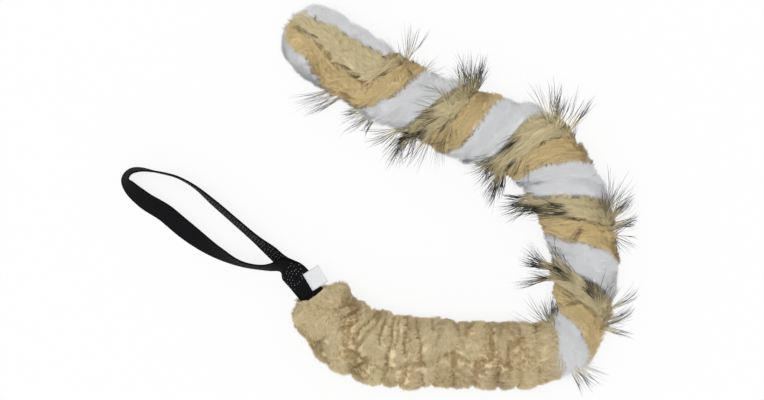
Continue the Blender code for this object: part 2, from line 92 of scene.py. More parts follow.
# Routes from above in mm, as the CAD has them. The loop's rows go on with the webbing's lean in degrees and
# the height of its lower edge.
CORE_POINTS = [(-64, -94), (-55, -104.5), (-46, -119), (-33, -132), (-12, -143.5), (17, -150.5), (50, -153),
               (90, -154.5), (125, -156), (155, -155), (178, -150)]
TAIL_POINTS = [(178, -150), (188, -147.5), (198, -138.5), (205, -125), (208.5, -107), (211, -86), (211, -58),
               (206, -32), (198, -5), (188, 17), (172, 42), (151, 58), (123, 67), (82, 79), (53, 94),
               (21, 108), (-6, 124), (-29, 139), (-54, 156), (-82, 176)]
LOOP_POINTS = [(-64, -94, -90, 22.6), (-70.5, -86.5, -90, 20.8), (-77.1, -79.1, -84, 17.4),
               (-86.3, -72.3, -62, 9.8), (-96, -67, -28, 2.1), (-107, -68, -15, 0.2), (-132, -65, -12, 0),
               (-158, -53, -30, 0), (-186, -34, -48, 0), (-215, -10, -48, 0), (-231, 3, -44, 0),
               (-243, 14, -36, 0), (-248, 23, -28, 0), (-243, 30, -18, 0), (-233, 32, -8, 0),
               (-221, 30.5, 0, 0), (-206, 26, 2, 0), (-184, 15, 6, 0), (-162, -3, 14, 0), (-140, -22, 16, 0),
               (-118, -41, 20, 0), (-104, -52.5, 29, 0.3), (-93.8, -61.8, 33, 1.6), (-83.8, -69.9, 52, 3.9),
               (-76.2, -78.1, 78, 12.6), (-70.5, -86.5, 90, 18.2), (-64, -94, 90, 20.5)]
LABEL_SEAM = [(-71.7, -75.5), (-60.7, -93.3)]
LOOP_LENGTH = 461 * MM
FAR_BEND = np.array([170, 200, 255, 285]) * MM  # where its easing starts, is full, ends and is gone
BEND_SHIFT = np.array([-3.5, -1.5]) * MM  # of the loop's far bend, from the CAD's line
DOTTED = [(14, 36), (60, 421)]  # mm along the loop that carry grip dots
SLEEVE_LENGTH = 260 * MM
TAIL_LENGTH = 505 * MM
MOUTH_GAP = 4.5 * MM
MOUTH_DIP = 2.5 * MM
CORE_HEIGHT = 25 * MM
BIGHT_FROM_MOUTH = 62 * MM
TAIL_ROOT_DEPTH = 43 * MM
BUNGEE_DIAMETER = 8 * MM
EYE_CLEARANCE = 1.2 * MM
END_SPREAD = 1.2 * MM

# Half widths in mm at distances in mm, and half heights too in the bore
SLEEVE_OUTSIDE = [(0, 24), (5, 28.5), (18, 32), (45, 36), (95, 36), (140, 34), (200, 33), (242, 31.5),
                  (254, 29), (260, 25.5)]
SLEEVE_BORE = [(0, 14.5, 4.4), (28, 16.5, 8), (48, 24.5, 10), (76, 24.5, 10), (110, 21.5, 10),
               (185, 15.9, 10), (212, 15.4, 12), (260, 22.5, 16.5)]
SLEEVE_ARC = 34 / 180 * math.pi  # mm to a degree round the sleeve
SLEEVE_LOFT = 0.76
NECK_ROUND = 8 * MM
TAIL_PUFF = 5 * MM
TAIL_HALF_WIDTH = [(-43, 12), (-20, 16), (0, 20), (16, 28), (45, 26), (90, 32), (150, 35.5), (240, 36.5),
                   (300, 36), (340, 33.5), (380, 35), (450, 36), (505, 35)]
TAIL_FLATNESS = 0.72
TAIL_SETTLE = 0.6 * MM
TWIST_LAY = 86 * MM
TWIST_START = 16 * MM
TWIST_END = 408 * MM
TURN_BACK = -18  # degrees, over the last of the tail
STRIP_GAP = 1.4 * MM
TIP_ROUNDING = 22 * MM
TAIL_CUTS = [-43, 42, 135, 235, 335, 505]  # the shown strips part half way between the bends
STRIPS = ["white_strip", "tan_strip", "long_hair_strip"]
# Degrees of the tail's round that the white, tan and long-haired strips take at distances in mm: at the end
# the white lies wide under the other two
STRIP_SHARES = [(0, 148, 110, 102), (378, 148, 110, 102), (408, 225, 72, 63), (440, 225, 72, 63),
                (478, 285, 40, 35)]
SLEEVE_TUFTS = 4200  # on each half
TUFT_RADIUS = 34 * MM
HUB = 0.55  # where the middle of a strip stands, of the tail's half width
ROUNDNESS = 7
GUARDS_END = 405 * MM
LOCKS = {"density": 8000, "per": 19, "reach": 1.9 * MM}  # to the square metre, hairs in one, its radius
PICTURE_CENTRE = np.array([7, 0]) * MM  # from the middle of the routes' numbers
# Locks that stick out from under the white strip: mm along the tail, and degrees from its top to the left
UNDER_LOCKS = [(10, -82), (13, -78), (388, 106), (393, 110), (398, 105), (403, 110), (424, 104), (430, 100),
               (436, 104)]

# Creases across the sleeve: place in mm at its left side and at its seam, the angles between which it runs
# in degrees (0 left, 90 top), and its depth and width in mm
CREASES = [(30, 16, 5, 75, 2.6, 3), (46, 30, 0, 80, 3, 2.6), (64, 40, 5, 90, 5.6, 2.4),
           (73, 55, 0, 100, 6, 2.2), (79, 63, 15, 100, 5, 2), (86, 82, -5, 78, 5, 2.2),
           (94, 95, -25, 135, 7.5, 2.4),
           (102, 101, -5, 92, 4.6, 2), (110, 110, -8, 98, 5, 2.2), (119, 127, -12, 112, 5.2, 2.4),
           (134, 138, -25, 50, 3, 2.6), (147, 143, 10, 75, 2.6, 2.2), (162, 165, -30, 66, 4.2, 3),
           (177, 172, -5, 60, 2.6, 2.4), (192, 199, -15, 90, 4.4, 2.6), (207, 206, -20, 50, 2.6, 2.4),
           (215, 214, 50, 140, 5, 3), (229, 226, -25, 62, 3, 2.6), (244, 242, 5, 92, 2.6, 2.4),
           (36, 28, 118, 185, 3.2, 3), (52, 47, 122, 200, 2.8, 3), (75, 66, 118, 205, 4.4, 3.2),
           (92, 96, 124, 200, 3.6, 2.8), (112, 106, 114, 205, 4.2, 3), (128, 130, 110, 195, 3, 3),
           (143, 137, 100, 208, 3.6, 3.2), (160, 158, 98, 195, 3.6, 3), (184, 180, 102, 208, 4.6, 3.4),
           (203, 205, 106, 190, 3, 2.6), (224, 222, 106, 198, 3.8, 3), (241, 238, 100, 185, 2.6, 3)]
# The lengthwise seam: its angle in degrees at distances in mm
SEAM = [(60, 113), (93, 124), (125, 110), (156, 90), (182, 97), (214, 103)]
TACKS = [(60, 113), (214, 103)]
SEAM_GROOVE = np.array([52, 64, 212, 224]) * MM  # where it starts, is full, ends and is gone
PLEAT = 7.5  # mm from one pucker of the seam to the next


def smooth(value, low, high):
    """3u^2 - 2u^3 of how far the value is from low to high, held at 0 and 1 outside them."""
    u = np.clip((value - low) / (high - low), 0, 1)
    return u * u * (3 - 2 * u)


def window(value, start, full, end, gone):
    """1 from full to end, eased to 0 at start and gone."""
    return smooth(value, start, full) * (1 - smooth(value, end, gone))


def spread(rows, distance, column=1):
    """A column of a table in mm, read at a distance in metres by straight lines between its rows."""
    table = np.array(rows, float) * MM
    return np.interp(distance, table[:, 0], table[:, column])


def unit(vectors):
    return vectors / np.maximum(np.linalg.norm(vectors, axis=-1, keepdims=True), 1e-12)


def along_line(points):
    """Distance of each point from the first, along the line through them."""
    return np.concatenate([[0], np.cumsum(np.linalg.norm(np.diff(points, axis=0), axis=1))])


def read_rows(at, known, rows):
    """Every column of rows that are known at some distances, read at others by straight lines."""
    return np.stack([np.interp(at, known, column) for column in rows.T], axis=-1)


def circle(count):
    return np.linspace(0, 2 * math.pi, count, endpoint=False)


def ring(one, other, angles):
    """Points round a circle: one direction times the cosine and the other times the sine of each angle."""
    return one[..., None, :] * np.cos(angles)[:, None] + other[..., None, :] * np.sin(angles)[:, None]


def swung(one, other, angle):
    """Each row's direction between one at 0 and the other at a quarter turn."""
    return one * np.cos(angle)[:, None] + other * np.sin(angle)[:, None]


def paired(one, other):
    return np.stack(np.broadcast_arrays(one, other), axis=-1)


def raised(flat, height):
    return np.concatenate([flat, height[..., None]], axis=-1)


def from_zero(angle):
    """Size of an angle by the shorter way round."""
    return np.abs((angle + math.pi) % (2 * math.pi) - math.pi)


class Route:
    """A smooth line through rows of numbers, read by the distance along it.

    Between two rows it is the cubic whose end slopes are the neighbouring chords' slopes, each weighted by
    the other chord's length. The whole line is scaled to a stated length.
    """

    def __init__(self, rows, length, start):
        rows = np.array(rows, float)
        rows[:, :2] *= MM
        at = along_line(rows[:, :2])
        steps = np.diff(at)
        chords = np.diff(rows, axis=0) / steps[:, None]
        before, after = steps[:-1, None], steps[1:, None]
        inner = (chords[:-1] * after + chords[1:] * before) / (before + after)
        slopes = np.vstack([chords[:1], inner, chords[-1:]])
        fine = np.linspace(0, at[-1], 1500)
        span = np.clip(np.searchsorted(at, fine, side="right") - 1, 0, len(steps) - 1)
        h = steps[span][:, None]
        u = ((fine - at[span]) / steps[span])[:, None]
        self.rows = (
            rows[span] * (2 * u**3 - 3 * u**2 + 1)
            + slopes[span] * h * (u**3 - 2 * u**2 + u)
            + rows[span + 1] * (3 * u**2 - 2 * u**3)
            + slopes[span + 1] * h * (u**3 - u**2)
        )
        drawn = along_line(self.rows[:, :2])[-1]
        self.rows[:, :2] = start + (self.rows[:, :2] - self.rows[0, :2]) * (length / drawn)
        self.along = along_line(self.rows[:, :2])
        self.length = self.along[-1]

    def at(self, distance):
        return read_rows(distance, self.along, self.rows)

    def place(self, distance):
        """Point, direction and left-hand side at distances, which may lie past either end."""
        distance = np.asarray(distance, float)
        inside = np.clip(distance, 0, self.length)
        step = 0.5 * MM
        ahead = self.at(np.minimum(inside + step, self.length))[..., :2]
        behind = self.at(np.maximum(inside - step, 0))[..., :2]
        direction = unit(ahead - behind)
        point = self.at(inside)[..., :2] + direction * (distance - inside)[..., None]
        left = np.stack([-direction[..., 1], direction[..., 0]], axis=-1)
        return point, direction, left


FOLD = np.array(JOINTS["handle_fold"]["pos_m"][:2])
SHIFT = FOLD - np.array(CORE_POINTS[0]) * MM
CORE = Route(CORE_POINTS, MOUTH_GAP + SLEEVE_LENGTH, FOLD)
TAIL = Route(TAIL_POINTS, TAIL_LENGTH, CORE.at(CORE.length)[:2])
LOOP = Route(LOOP_POINTS, LOOP_LENGTH, FOLD)


def core_height(distance):
    return CORE_HEIGHT - MOUTH_DIP * (1 - smooth(distance, -MOUTH_GAP, 30 * MM))


def on_core(distance, aside, up):
    """Points beside and above the core line, at distances from the sleeve's rim."""
    distance, aside, up = np.broadcast_arrays(distance, aside, up)
    point, _, left = CORE.place(distance + MOUTH_GAP)
    return raised(point + left * aside[..., None], core_height(distance) + up)


def ripple(s, a, seed, waves, size):
    """A smooth random field on a surface: the mean of a few sines whose slopes and phases are drawn once."""
    rng = np.random.default_rng(seed)
    field = np.zeros(np.broadcast(s, a).shape)
    for _ in range(waves):
        along = rng.uniform(-1, 1) * 2 * math.pi / size
        around = rng.integers(-3, 4)
        field = field + np.sin(s * along + a * around + rng.uniform(0, 2 * math.pi))
    return field / math.sqrt(waves)


def mesh_piece(name, points, triangles, quads, tint, finish, weave=None, smooth_shade=True, normals=None):
    """A mesh object from arrays, with its vertices' places on the bake map in tint, on the cloth in weave."""
    points = np.asarray(points, np.float32).reshape(-1, 3)
    triangles = np.asarray(triangles, np.int32).reshape(-1, 3)
    quads = np.asarray(quads, np.int32).reshape(-1, 4)
    corners = np.concatenate([quads.ravel(), triangles.ravel()]).astype(np.int32)
    counts = np.concatenate([np.full(len(quads), 4), np.full(len(triangles), 3)])
    starts = np.concatenate([[0], np.cumsum(counts)[:-1]]).astype(np.int32)
    mesh = bpy.data.meshes.new(name)
    mesh.vertices.add(len(points))
    mesh.vertices.foreach_set("co", points.ravel())
    mesh.loops.add(len(corners))
    mesh.loops.foreach_set("vertex_index", corners)
    mesh.polygons.add(len(counts))
    mesh.polygons.foreach_set("loop_start", starts)
    mesh.update(calc_edges=True)
    for layer, values in ((BAKE_UV, tint), (WEAVE_UV, weave)):
        if values is not None:
            uv = mesh.uv_layers.new(name=layer)
            places = np.asarray(values, np.float32).reshape(-1, 2)
            uv.data.foreach_set("uv", places[corners].ravel())
    if smooth_shade:
        mesh.shade_smooth()
    mesh.materials.append(finish)
    mesh.validate()
    if normals is not None:
        mesh.normals_split_custom_set_from_vertices(normals)
    made = bpy.data.objects.new(name, mesh)
    bpy.context.scene.collection.objects.link(made)
    return made


def grid_quads(rows, columns, looped_rows=False, looped_columns=True):
    """Quads of a grid of points, row after row, joined end to end where it is looped."""
    i = np.arange(rows if looped_rows else rows - 1)
    j = np.arange(columns if looped_columns else columns - 1)
    i, j = np.meshgrid(i, j, indexing="ij")
    after, beside = (i + 1) % rows, (j + 1) % columns
    return np.stack([i * columns + j, i * columns + beside, after * columns + beside, after * columns + j],
                    axis=-1).reshape(-1, 4)


def cap_triangles(edge, middle, flipped):
    """Triangles from a ring of vertex numbers to one in its middle."""
    after = np.roll(edge, -1)
    order = (after, edge) if flipped else (edge, after)
    return np.stack([*order, np.full(len(edge), middle)], axis=-1)


def closed_ends(grid, flipped):
    """The points of a tube's rings and one in the middle of each end, and the triangles that close it."""
    rows, columns = grid.shape[:2]
    points = np.concatenate([grid.reshape(-1, 3), [grid[0].mean(axis=0), grid[-1].mean(axis=0)]])
    first = cap_triangles(np.arange(columns), rows * columns, flipped)
    last = cap_triangles(np.arange(columns) + (rows - 1) * columns, rows * columns + 1, not flipped)
    return points, np.concatenate([first, last])


def repeated(faces, count, step):
    """The faces of one small shape, for as many of it as there are, each with that many points."""
    faces = np.array(faces)
    return (faces + np.arange(count)[:, None, None] * step).reshape(-1, faces.shape[1])


def cloth_places(rows, columns):
    """Places on the bake map of the cloth under a pile, in the middle of its tones, between the roots'
    painted shade and the body's colour.
    """
    return paired(np.linspace(0.3, 0.7, rows)[:, None], np.linspace(0.3, 0.5, columns)).reshape(-1, 2)


# Node groups and materials


class Nodes:
    """Short ways to add and join the nodes of one tree."""

    def __init__(self, tree):
        self.tree = tree

    def add(self, kind, **values):
        node = self.tree.nodes.new(kind)
        for key, value in values.items():
            setattr(node, key, value)
        return node

    def join(self, source, target):
        """Sets a socket to a number or a colour, or joins another node's output to it."""
        if isinstance(source, (int, float, tuple)):
            target.default_value = source
        else:
            self.tree.links.new(source, target)

    def math(self, operation, *values):
        node = self.add("ShaderNodeMath", operation=operation)
        for value, socket in zip(values, node.inputs):
            self.join(value, socket)
        return node.outputs[0]

    def step(self, value, low, high):
        node = self.add("ShaderNodeMapRange", interpolation_type="SMOOTHSTEP")
        for key, given in (("Value", value), ("From Min", low), ("From Max", high)):
            self.join(given, node.inputs[key])
        return node.outputs["Result"]

    def mix(self, factor, one, other, blend="MIX"):
        node = self.add("ShaderNodeMix", data_type="RGBA", blend_type=blend)
        for number, value in ((0, factor), (6, one), (7, other)):
            self.join(value, node.inputs[number])
        return node.outputs[2]

    def place_on(self, uv_map):
        """The two coordinates of a UV map."""
        parts = self.add("ShaderNodeSeparateXYZ")
        self.join(self.add("ShaderNodeUVMap", uv_map=uv_map).outputs["UV"], parts.inputs[0])
        return parts.outputs["X"], parts.outputs["Y"]


def new_group(name, inputs, outputs):
    """A node group whose inputs are numbers or colours, as their defaults are. Returns its nodes and ends."""
    group = bpy.data.node_groups.new(name, "ShaderNodeTree")
    for label, value in inputs.items():
        kind = "NodeSocketColor" if isinstance(value, tuple) else "NodeSocketFloat"
        group.interface.new_socket(name=label, in_out="INPUT", socket_type=kind).default_value = value
    for label, kind in outputs.items():
        group.interface.new_socket(name=label, in_out="OUTPUT", socket_type=kind)
    n = Nodes(group)
    return n, n.add("NodeGroupInput").outputs, n.add("NodeGroupOutput").inputs


def pile_group():
    """Colour of one hair from its place on the bake map: up the map from root to tip, across it by chance
    and, on the sleeve, by painted shade.
    """
    n, given, made = new_group(
        "Pile Colour",
        {"Root": (0.2, 0.2, 0.2, 1), "Body": (0.5, 0.5, 0.5, 1), "Tip": (0.8, 0.8, 0.8, 1),
         "Warm": (0.6, 0.4, 0.2, 1), "Root Ends": 0.4, "Tip Starts": 0.6, "Tip Ends": 1.0, "Contrast": 0.3},
        {"Color": "NodeSocketColor"},
    )
    across, up = n.place_on(BAKE_UV)
    # Warm, high across the map: warmer tufts by chance, and on the sleeve also painted shade in the creases
    # and on the top.
    body = n.mix(n.step(across, 0.55, 0.95), given["Body"], given["Warm"])
    # The root's colour, darker than the body's, is painted shade deep in the pile.
    colour = n.mix(n.step(up, 0.0, given["Root Ends"]), given["Root"], body)
    colour = n.mix(n.step(up, given["Tip Starts"], given["Tip Ends"]), colour, given["Tip"])
    wobble = n.math("SINE", n.math("MULTIPLY", across, 61.0))
    dark = n.math("SUBTRACT", n.step(across, 0.0, 0.4), 1.0)
    level = n.math("MULTIPLY_ADD", wobble, 0.22, dark)
    level = n.math("MULTIPLY_ADD", level, given["Contrast"], 1.0)
    shade = n.add("ShaderNodeCombineColor")
    for socket in shade.inputs[:3]:
        n.join(level, socket)
    n.join(n.mix(1.0, colour, shade.outputs[0], "MULTIPLY"), made["Color"])


def weave_group():
    """Plain weave on the cloth's own map: the product of a sine along and a sine across it."""
    n, given, made = new_group("Plain Weave", {"Pitch Along": 0.0016, "Pitch Across": 0.0012, "Slant": 0.0},
                               {"Height": "NodeSocketFloat", "Gaps": "NodeSocketFloat"})
    along, across = n.place_on(WEAVE_UV)
    slanted = n.math("MULTIPLY_ADD", across, given["Slant"], along)
    waves = []
    for value, pitch in ((slanted, "Pitch Along"), (across, "Pitch Across")):
        turns = n.math("DIVIDE", value, given[pitch])
        waves.append(n.math("SINE", n.math("MULTIPLY", turns, 2 * math.pi)))
    product = n.math("MULTIPLY", *waves)
    n.join(n.math("MULTIPLY_ADD", product, 0.5, 0.5), made["Height"])
    # Gaps marks where the threads dip, for the painted shade there.
    n.join(n.step(n.math("ABSOLUTE", product), 0.3, 0.0), made["Gaps"])


def wear_group():
    """Fine fluff and soft stains in space, from two noises on the object's own coordinates."""
    n, given, made = new_group("Fluff And Wear", {"Fluff Size": 900.0, "Stain Size": 40.0},
                               {"Fluff": "NodeSocketFloat", "Stain": "NodeSocketFloat"})
    place = n.add("ShaderNodeTexCoord").outputs["Object"]
    for name, low, high in (("Fluff", 0.62, 0.76), ("Stain", 0.35, 0.75)):
        noise = n.add("ShaderNodeTexNoise")
        for key, value in (("Detail", 3), ("Vector", place), ("Scale", given[name + " Size"])):
            n.join(value, noise.inputs[key])
        n.join(n.step(noise.outputs["Fac"], low, high), made[name])


def group_node(n, name, **values):
    """A group's node with its inputs set by name."""
    node = n.add("ShaderNodeGroup", node_tree=bpy.data.node_groups[name])
    for key, value in values.items():
        node.inputs[key.replace("_", " ").title()].default_value = value
    return node


def new_material(name, roughness, sheen=0.0, sheen_tint=(1, 1, 1), specular=0.5):
    made = bpy.data.materials.new(name)
    made.use_nodes = True
    shader = made.node_tree.nodes["Principled BSDF"]
    values = {"Roughness": roughness, "Sheen Weight": sheen, "Sheen Roughness": 0.5,
              "Sheen Tint": (*sheen_tint, 1), "Specular IOR Level": specular}
    for key, value in values.items():
        shader.inputs[key].default_value = value
    return made, Nodes(made.node_tree), shader


def worn_material(name, colour, worn, stain_size, *finish):
    """A plain material with stains of another colour."""
    made, n, shader = new_material(name, *finish)
    wear = group_node(n, "Fluff And Wear", stain_size=stain_size)
    n.join(n.mix(wear.outputs["Stain"], (*colour, 1), (*worn, 1)), shader.inputs["Base Color"])
    return made


def pile_material(name, root, body, tip, warm, root_ends, tip_starts, contrast, tip_ends=1.0, sheen=0.15):
    """Hair in its root's, body's and tip's colours, which change over at shares of its length; the darker
    root colour is painted shade deep in the pile.
    """
    made, n, shader = new_material(name, 0.85, sheen, tuple(tip), 0.15)
    node = group_node(n, "Pile Colour", root=(*root, 1), body=(*body, 1), tip=(*tip, 1), warm=(*warm, 1),
                      root_ends=root_ends, tip_starts=tip_starts, tip_ends=tip_ends, contrast=contrast)
    n.join(node.outputs["Color"], shader.inputs["Base Color"])
    return made


def dimmed(colour, share):
    return tuple(c * share for c in colour)


def woven_material(name, colour, lint, along, across, slant, bump, roughness, sheen, specular=0.3):
    """Cloth whose threads rise and dip in a weave, with painted shade in its gaps, and dusted with lint."""
    made, n, shader = new_material(name, roughness, sheen, lint, specular)
    weave = group_node(n, "Plain Weave", pitch_along=along, pitch_across=across, slant=slant)
    wear = group_node(n, "Fluff And Wear")
    # Painted shade: the gaps between threads are darkened to 0.45 of the colour.
    base = n.mix(weave.outputs["Gaps"], (*colour, 1), (*dimmed(colour, 0.45), 1))
    base = n.mix(n.math("MULTIPLY", wear.outputs["Fluff"], 0.35), base, (*lint, 1))
    base = n.mix(n.math("MULTIPLY", wear.outputs["Stain"], 0.3), base, (*dimmed(colour, 0.75), 1))
    n.join(base, shader.inputs["Base Color"])
    height = weave.outputs["Height"]
    n.join(n.math("MULTIPLY_ADD", height, -0.15, roughness + 0.1), shader.inputs["Roughness"])
    relief = n.add("ShaderNodeBump")
    for key, value in (("Distance", bump), ("Strength", 0.9), ("Height", height)):
        n.join(value, relief.inputs[key])
    n.join(relief.outputs["Normal"], shader.inputs["Normal"])
    return made


# Hair


def surface_frame(surface, s, a):
    """Points of a surface with its outward normal and its directions along s and round a, by differences."""
    ds, da = 0.4 * MM, 0.02
    here = surface(s, a)
    along = unit(surface(s + ds, a) - surface(s - ds, a))
    around = unit(surface(s, a + da) - surface(s, a - da))
    return here, unit(np.cross(around, along)), along, around


def hair_points(root, normal, comb, length, lean, curl, rings, rng):
    """Middle lines of hairs, one row each.

    The lean off the normal grows from lean[0] at the root to lean[1] at the tip, and the line is the sum of
    its steps. A sine beside it, of half a turn to 1.1 turns, curls it.
    """
    t = np.array(rings)
    middle = (t[1:] + t[:-1]) / 2
    angle = lean[0][:, None] + (lean[1] - lean[0])[:, None] * middle
    steps = np.diff(t) * length[:, None]
    moves = np.cos(angle)[..., None] * normal[:, None] + np.sin(angle)[..., None] * comb[:, None]
    line = np.concatenate([np.zeros((len(root), 1, 3)), np.cumsum(moves * steps[..., None], axis=1)], axis=1)
    side = np.cross(normal, comb)
    phase = rng.uniform(0, 2 * math.pi, len(root))[:, None]
    turns = rng.uniform(0.5, 1.1, len(root))[:, None]
    wave = (np.sin(2 * math.pi * turns * t + phase) - np.sin(phase)) * curl * t
    return root[:, None] + line + side[:, None] * wave[..., None]


def held_in(points):
    """Points outside the hair box brought in: what is over goes to room * tanh(over / room)."""
    size = np.abs(points)
    over = np.maximum(size - HAIR_BOX, 0)
    points = np.sign(points) * (size - over + HAIR_ROOM * np.tanh(over / HAIR_ROOM))
    points[..., 2] = np.maximum(points[..., 2], FLOOR)
    return points


def hair_mesh(lines, side, width, tint, rings, facing, roundness):
    """Three-sided spikes round the middle lines: arrays of points, triangles, bake-map places and normals.

    Each ring is a low roof with its ridge outward, whose half width is width times (1 - t^2.2)^0.8 and
    whose ridge is 0.35 of that high, and the last is a point. A hair is lit mostly as the cloth under it is:
    its normals are facing plus some of its own roundness. It takes a narrow column of the bake map.
    """
    count, stations = lines.shape[:2]
    t = np.array(rings)
    half = width[:, None] * (1 - t[:-1] ** 2.2) ** 0.8
    ahead = unit(np.diff(lines, axis=1))
    across = unit(side[:, None] - ahead * np.sum(side[:, None] * ahead, axis=-1, keepdims=True))
    through = np.cross(ahead, across)
    offsets = ring(across, 0.35 * through, np.radians([90, 210, 330]))
    body = (lines[:, :-1, None] + offsets * half[..., None, None]).reshape(count, -1, 3)
    points = held_in(np.concatenate([body, lines[:, -1:]], axis=1))
    rounded = facing[:, None] + roundness * unit(offsets).reshape(count, -1, 3)
    normals = unit(np.concatenate([rounded, facing[:, None]], axis=1))
    per = 3 * (stations - 1) + 1
    faces = []
    for k in range(stations - 2):
        for j in range(3):
            a, b = 3 * k + j, 3 * k + (j + 1) % 3
            faces += [(a, b, b + 3), (a, b + 3, a + 3)]
    last = 3 * (stations - 2)
    faces += [(last + j, last + (j + 1) % 3, per - 1) for j in range(3)]
    beside = np.concatenate([np.tile([-0.006, 0.006, 0.0], stations - 1), [0.0]])
    up = np.concatenate([np.repeat(t[:-1], 3), [1.0]])
    places = paired(tint[:, None] + beside, 0.02 + 0.96 * up)
    return points.reshape(-1, 3), repeated(faces, count, per), places.reshape(-1, 2), normals.reshape(-1, 3)


def tuft_places(centres, per, reach, radius, rng):
    """Places (s, a) of the hairs of each tuft, in a disc of that reach round its centre, and their tufts."""
    tufts = len(centres)
    away = reach * np.sqrt(rng.uniform(0, 1, (tufts, per)))
    bearing = rng.uniform(0, 2 * math.pi, (tufts, per))
    s = (centres[:, :1] + away * np.cos(bearing)).ravel()
    a = (centres[:, 1:] + away * np.sin(bearing) / radius).ravel()
    return s, a, np.repeat(np.arange(tufts), per)


def by_chance(rng, which, shared, own):
    """A random number for each hair, part of which it shares with its tuft."""
    return rng.normal(0, shared, which[-1] + 1)[which] + rng.normal(0, own, len(which))


def drawn_together(lines, which, gather, rings):
    """Hair lines bent, by the square of t, so that their tips come nearer to the middle of their tuft's."""
    tips = lines[:, -1]
    count = np.bincount(which)[:, None]
    middle = np.stack([np.bincount(which, column) for column in tips.T], axis=-1) / count
    pull = (middle[which] - tips) * gather
    return lines + pull[:, None] * (np.array(rings) ** 2)[None, :, None]


def grow(surface, centres, look, comb_turn, tint_of, seed, longer):
    """Hairs in tufts on a surface.

    The look's lift is added to the height of the normals, for the light that passes between the hairs.
    centres holds each tuft's (s, a). Its hairs lean along the comb direction, turned by comb_turn(s, a) from
    the way along the surface, and draw together by the look's gather. Their length is the pile by longer(s).
    """
    rng = np.random.default_rng(seed)
    tufts, rings = len(centres), look["rings"]
    s, a, which = tuft_places(centres, look["per"], look["reach"], look["radius"], rng)
    count = len(s)
    root, normal, along, around = surface_frame(surface, s, a)
    comb = unit(swung(along, around, comb_turn(s, a) + by_chance(rng, which, 0.3, 0.12)))
    long = look["pile"] * longer(s) * rng.uniform(0.86, 1.1, tufts)[which] * rng.uniform(0.85, 1.08, count)
    shift = by_chance(rng, which, 0.1, 0.07)
    leans = [lean + shift for lean in look["lean"]]
    lines = hair_points(root, normal, comb, long, leans, look["curl"], rings, rng)
    lines = drawn_together(lines, which, look["gather"], rings)
    lines[:, 0] -= normal * HAIR_SINK
    side = swung(np.cross(normal, comb), normal, rng.uniform(-0.45, 0.45, count))
    tint = tint_of(s, a) + by_chance(rng, which, look["speckle"], look["speckle"])
    facing = normal + rng.normal(0, look["rough"], (tufts, 3))[which] + rng.normal(0, 0.05, (count, 3))
    facing = unit(facing + np.array([0, 0, look["lift"]]))
    width = look["hair"] * rng.uniform(0.8, 1.15, count)
    return hair_mesh(lines, side, width, np.clip(tint, 0.02, 0.98), rings, facing, look["round"])


def joined(skin, hair):
    """A skin of (points, triangles, quads, places, normals) and a hair mesh in one set of arrays."""
    points, triangles, quads, places, normals = skin
    hairs, faces, hair_places, hair_normals = hair
    return (np.concatenate([points, hairs]), np.concatenate([triangles, faces + len(points)]), quads,
            np.concatenate([places, hair_places]), np.concatenate([normals, hair_normals]))


# Webbing


def strap_grid(middles, widths, width, thickness, face_points=15, edge_points=5):
    """Rings of points round a flat strap, and their places on the cloth.

    A ring runs over one face, round a half-round selvedge, back over the other face and round again.
    """
    half, thin = width / 2, thickness / 2
    flat = np.linspace(half - thin, thin - half, face_points)
    turn = np.radians(np.linspace(90, 270, edge_points + 2)[1:-1])
    x = np.concatenate([flat, thin - half + thin * np.cos(turn), -flat, half - thin - thin * np.cos(turn)])
    z = np.concatenate([np.full(face_points, thin), thin * np.sin(turn), np.full(face_points, -thin),
                        -thin * np.sin(turn)])
    z *= 1 + 0.12 * smooth(np.abs(x), half - 3.2 * MM, half - 1.6 * MM)
    ahead = unit(np.gradient(middles, axis=0))
    across = unit(widths - ahead * np.sum(widths * ahead, axis=-1, keepdims=True))
    through = np.cross(ahead, across)
    points = middles[:, None] + across[:, None] * x[None, :, None] + through[:, None] * z[None, :, None]
    along = along_line(middles)
    weave = paired(along[:, None], along_line(np.column_stack([x, z])))
    return points, weave, (middles, across, through, along)


def strap_piece(name, grid, weave, finish):
    points, ends = closed_ends(grid, False)
    cloth = np.concatenate([weave.reshape(-1, 2), weave[[0, -1], 0]])
    return mesh_piece(name, points, ends, grid_quads(*grid.shape[:2])[:, ::-1], None, finish, cloth)


def loop_line(stations):
    """Middle line of the hand loop and the way across the webbing, which leans as it goes round.

    Round the far bend both are averaged with their neighbours, so that the inner edge runs smoothly, and the
    line is moved out to where the photograph has it.
    """
    rows = LOOP.at(stations)
    _, _, outward = LOOP.place(stations)
    lean = np.radians(rows[:, 2])
    width, thick = webbing().width, webbing().thickness
    bend = window(stations, *FAR_BEND)
    across = np.column_stack([outward * np.sin(lean)[:, None], np.cos(lean)])
    across = unit(eased(across, 33, bend))
    upright = np.abs(across[:, 2])
    height = np.maximum(rows[:, 3], 0) * MM + upright * width / 2 + np.sqrt(1 - upright**2) * thick / 2
    flat = eased(rows[:, :2], 15, bend) + BEND_SHIFT * bend[:, None]
    return raised(flat, height), across


def eased(rows, stations, amount):
    """Rows averaged with their neighbours over a number of stations, mixed in by amount."""
    weights = np.hanning(stations)
    mean = [np.convolve(column, weights / weights.sum(), mode="same") for column in rows.T]
    return rows + (np.column_stack(mean) - rows) * amount[:, None]


# The settings that a user can change


def webbing():
    return bpy.context.scene.tug_webbing


def plush():
    return bpy.context.scene.tug_plush


def fur():
    return bpy.context.scene.tug_fur


def blend_at_fold(piece):
    """Bakes a piece's transform into its mesh; where the doubled neck goes into the sleeve is worked out but
    not used.
    """
    start, end = on_core(np.array([13 * MM, -MOUTH_GAP - 1 * MM]), 0, 0)
    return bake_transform(piece)


def length_setting(name, description, default):
    return FloatProperty(name=name, description=description, default=default, min=0.0001, precision=5,
                         unit="LENGTH")


def colour_setting(name, description, default):
    return FloatVectorProperty(name=name, description=description, default=default, subtype="COLOR", size=3,
                               min=0, max=1)


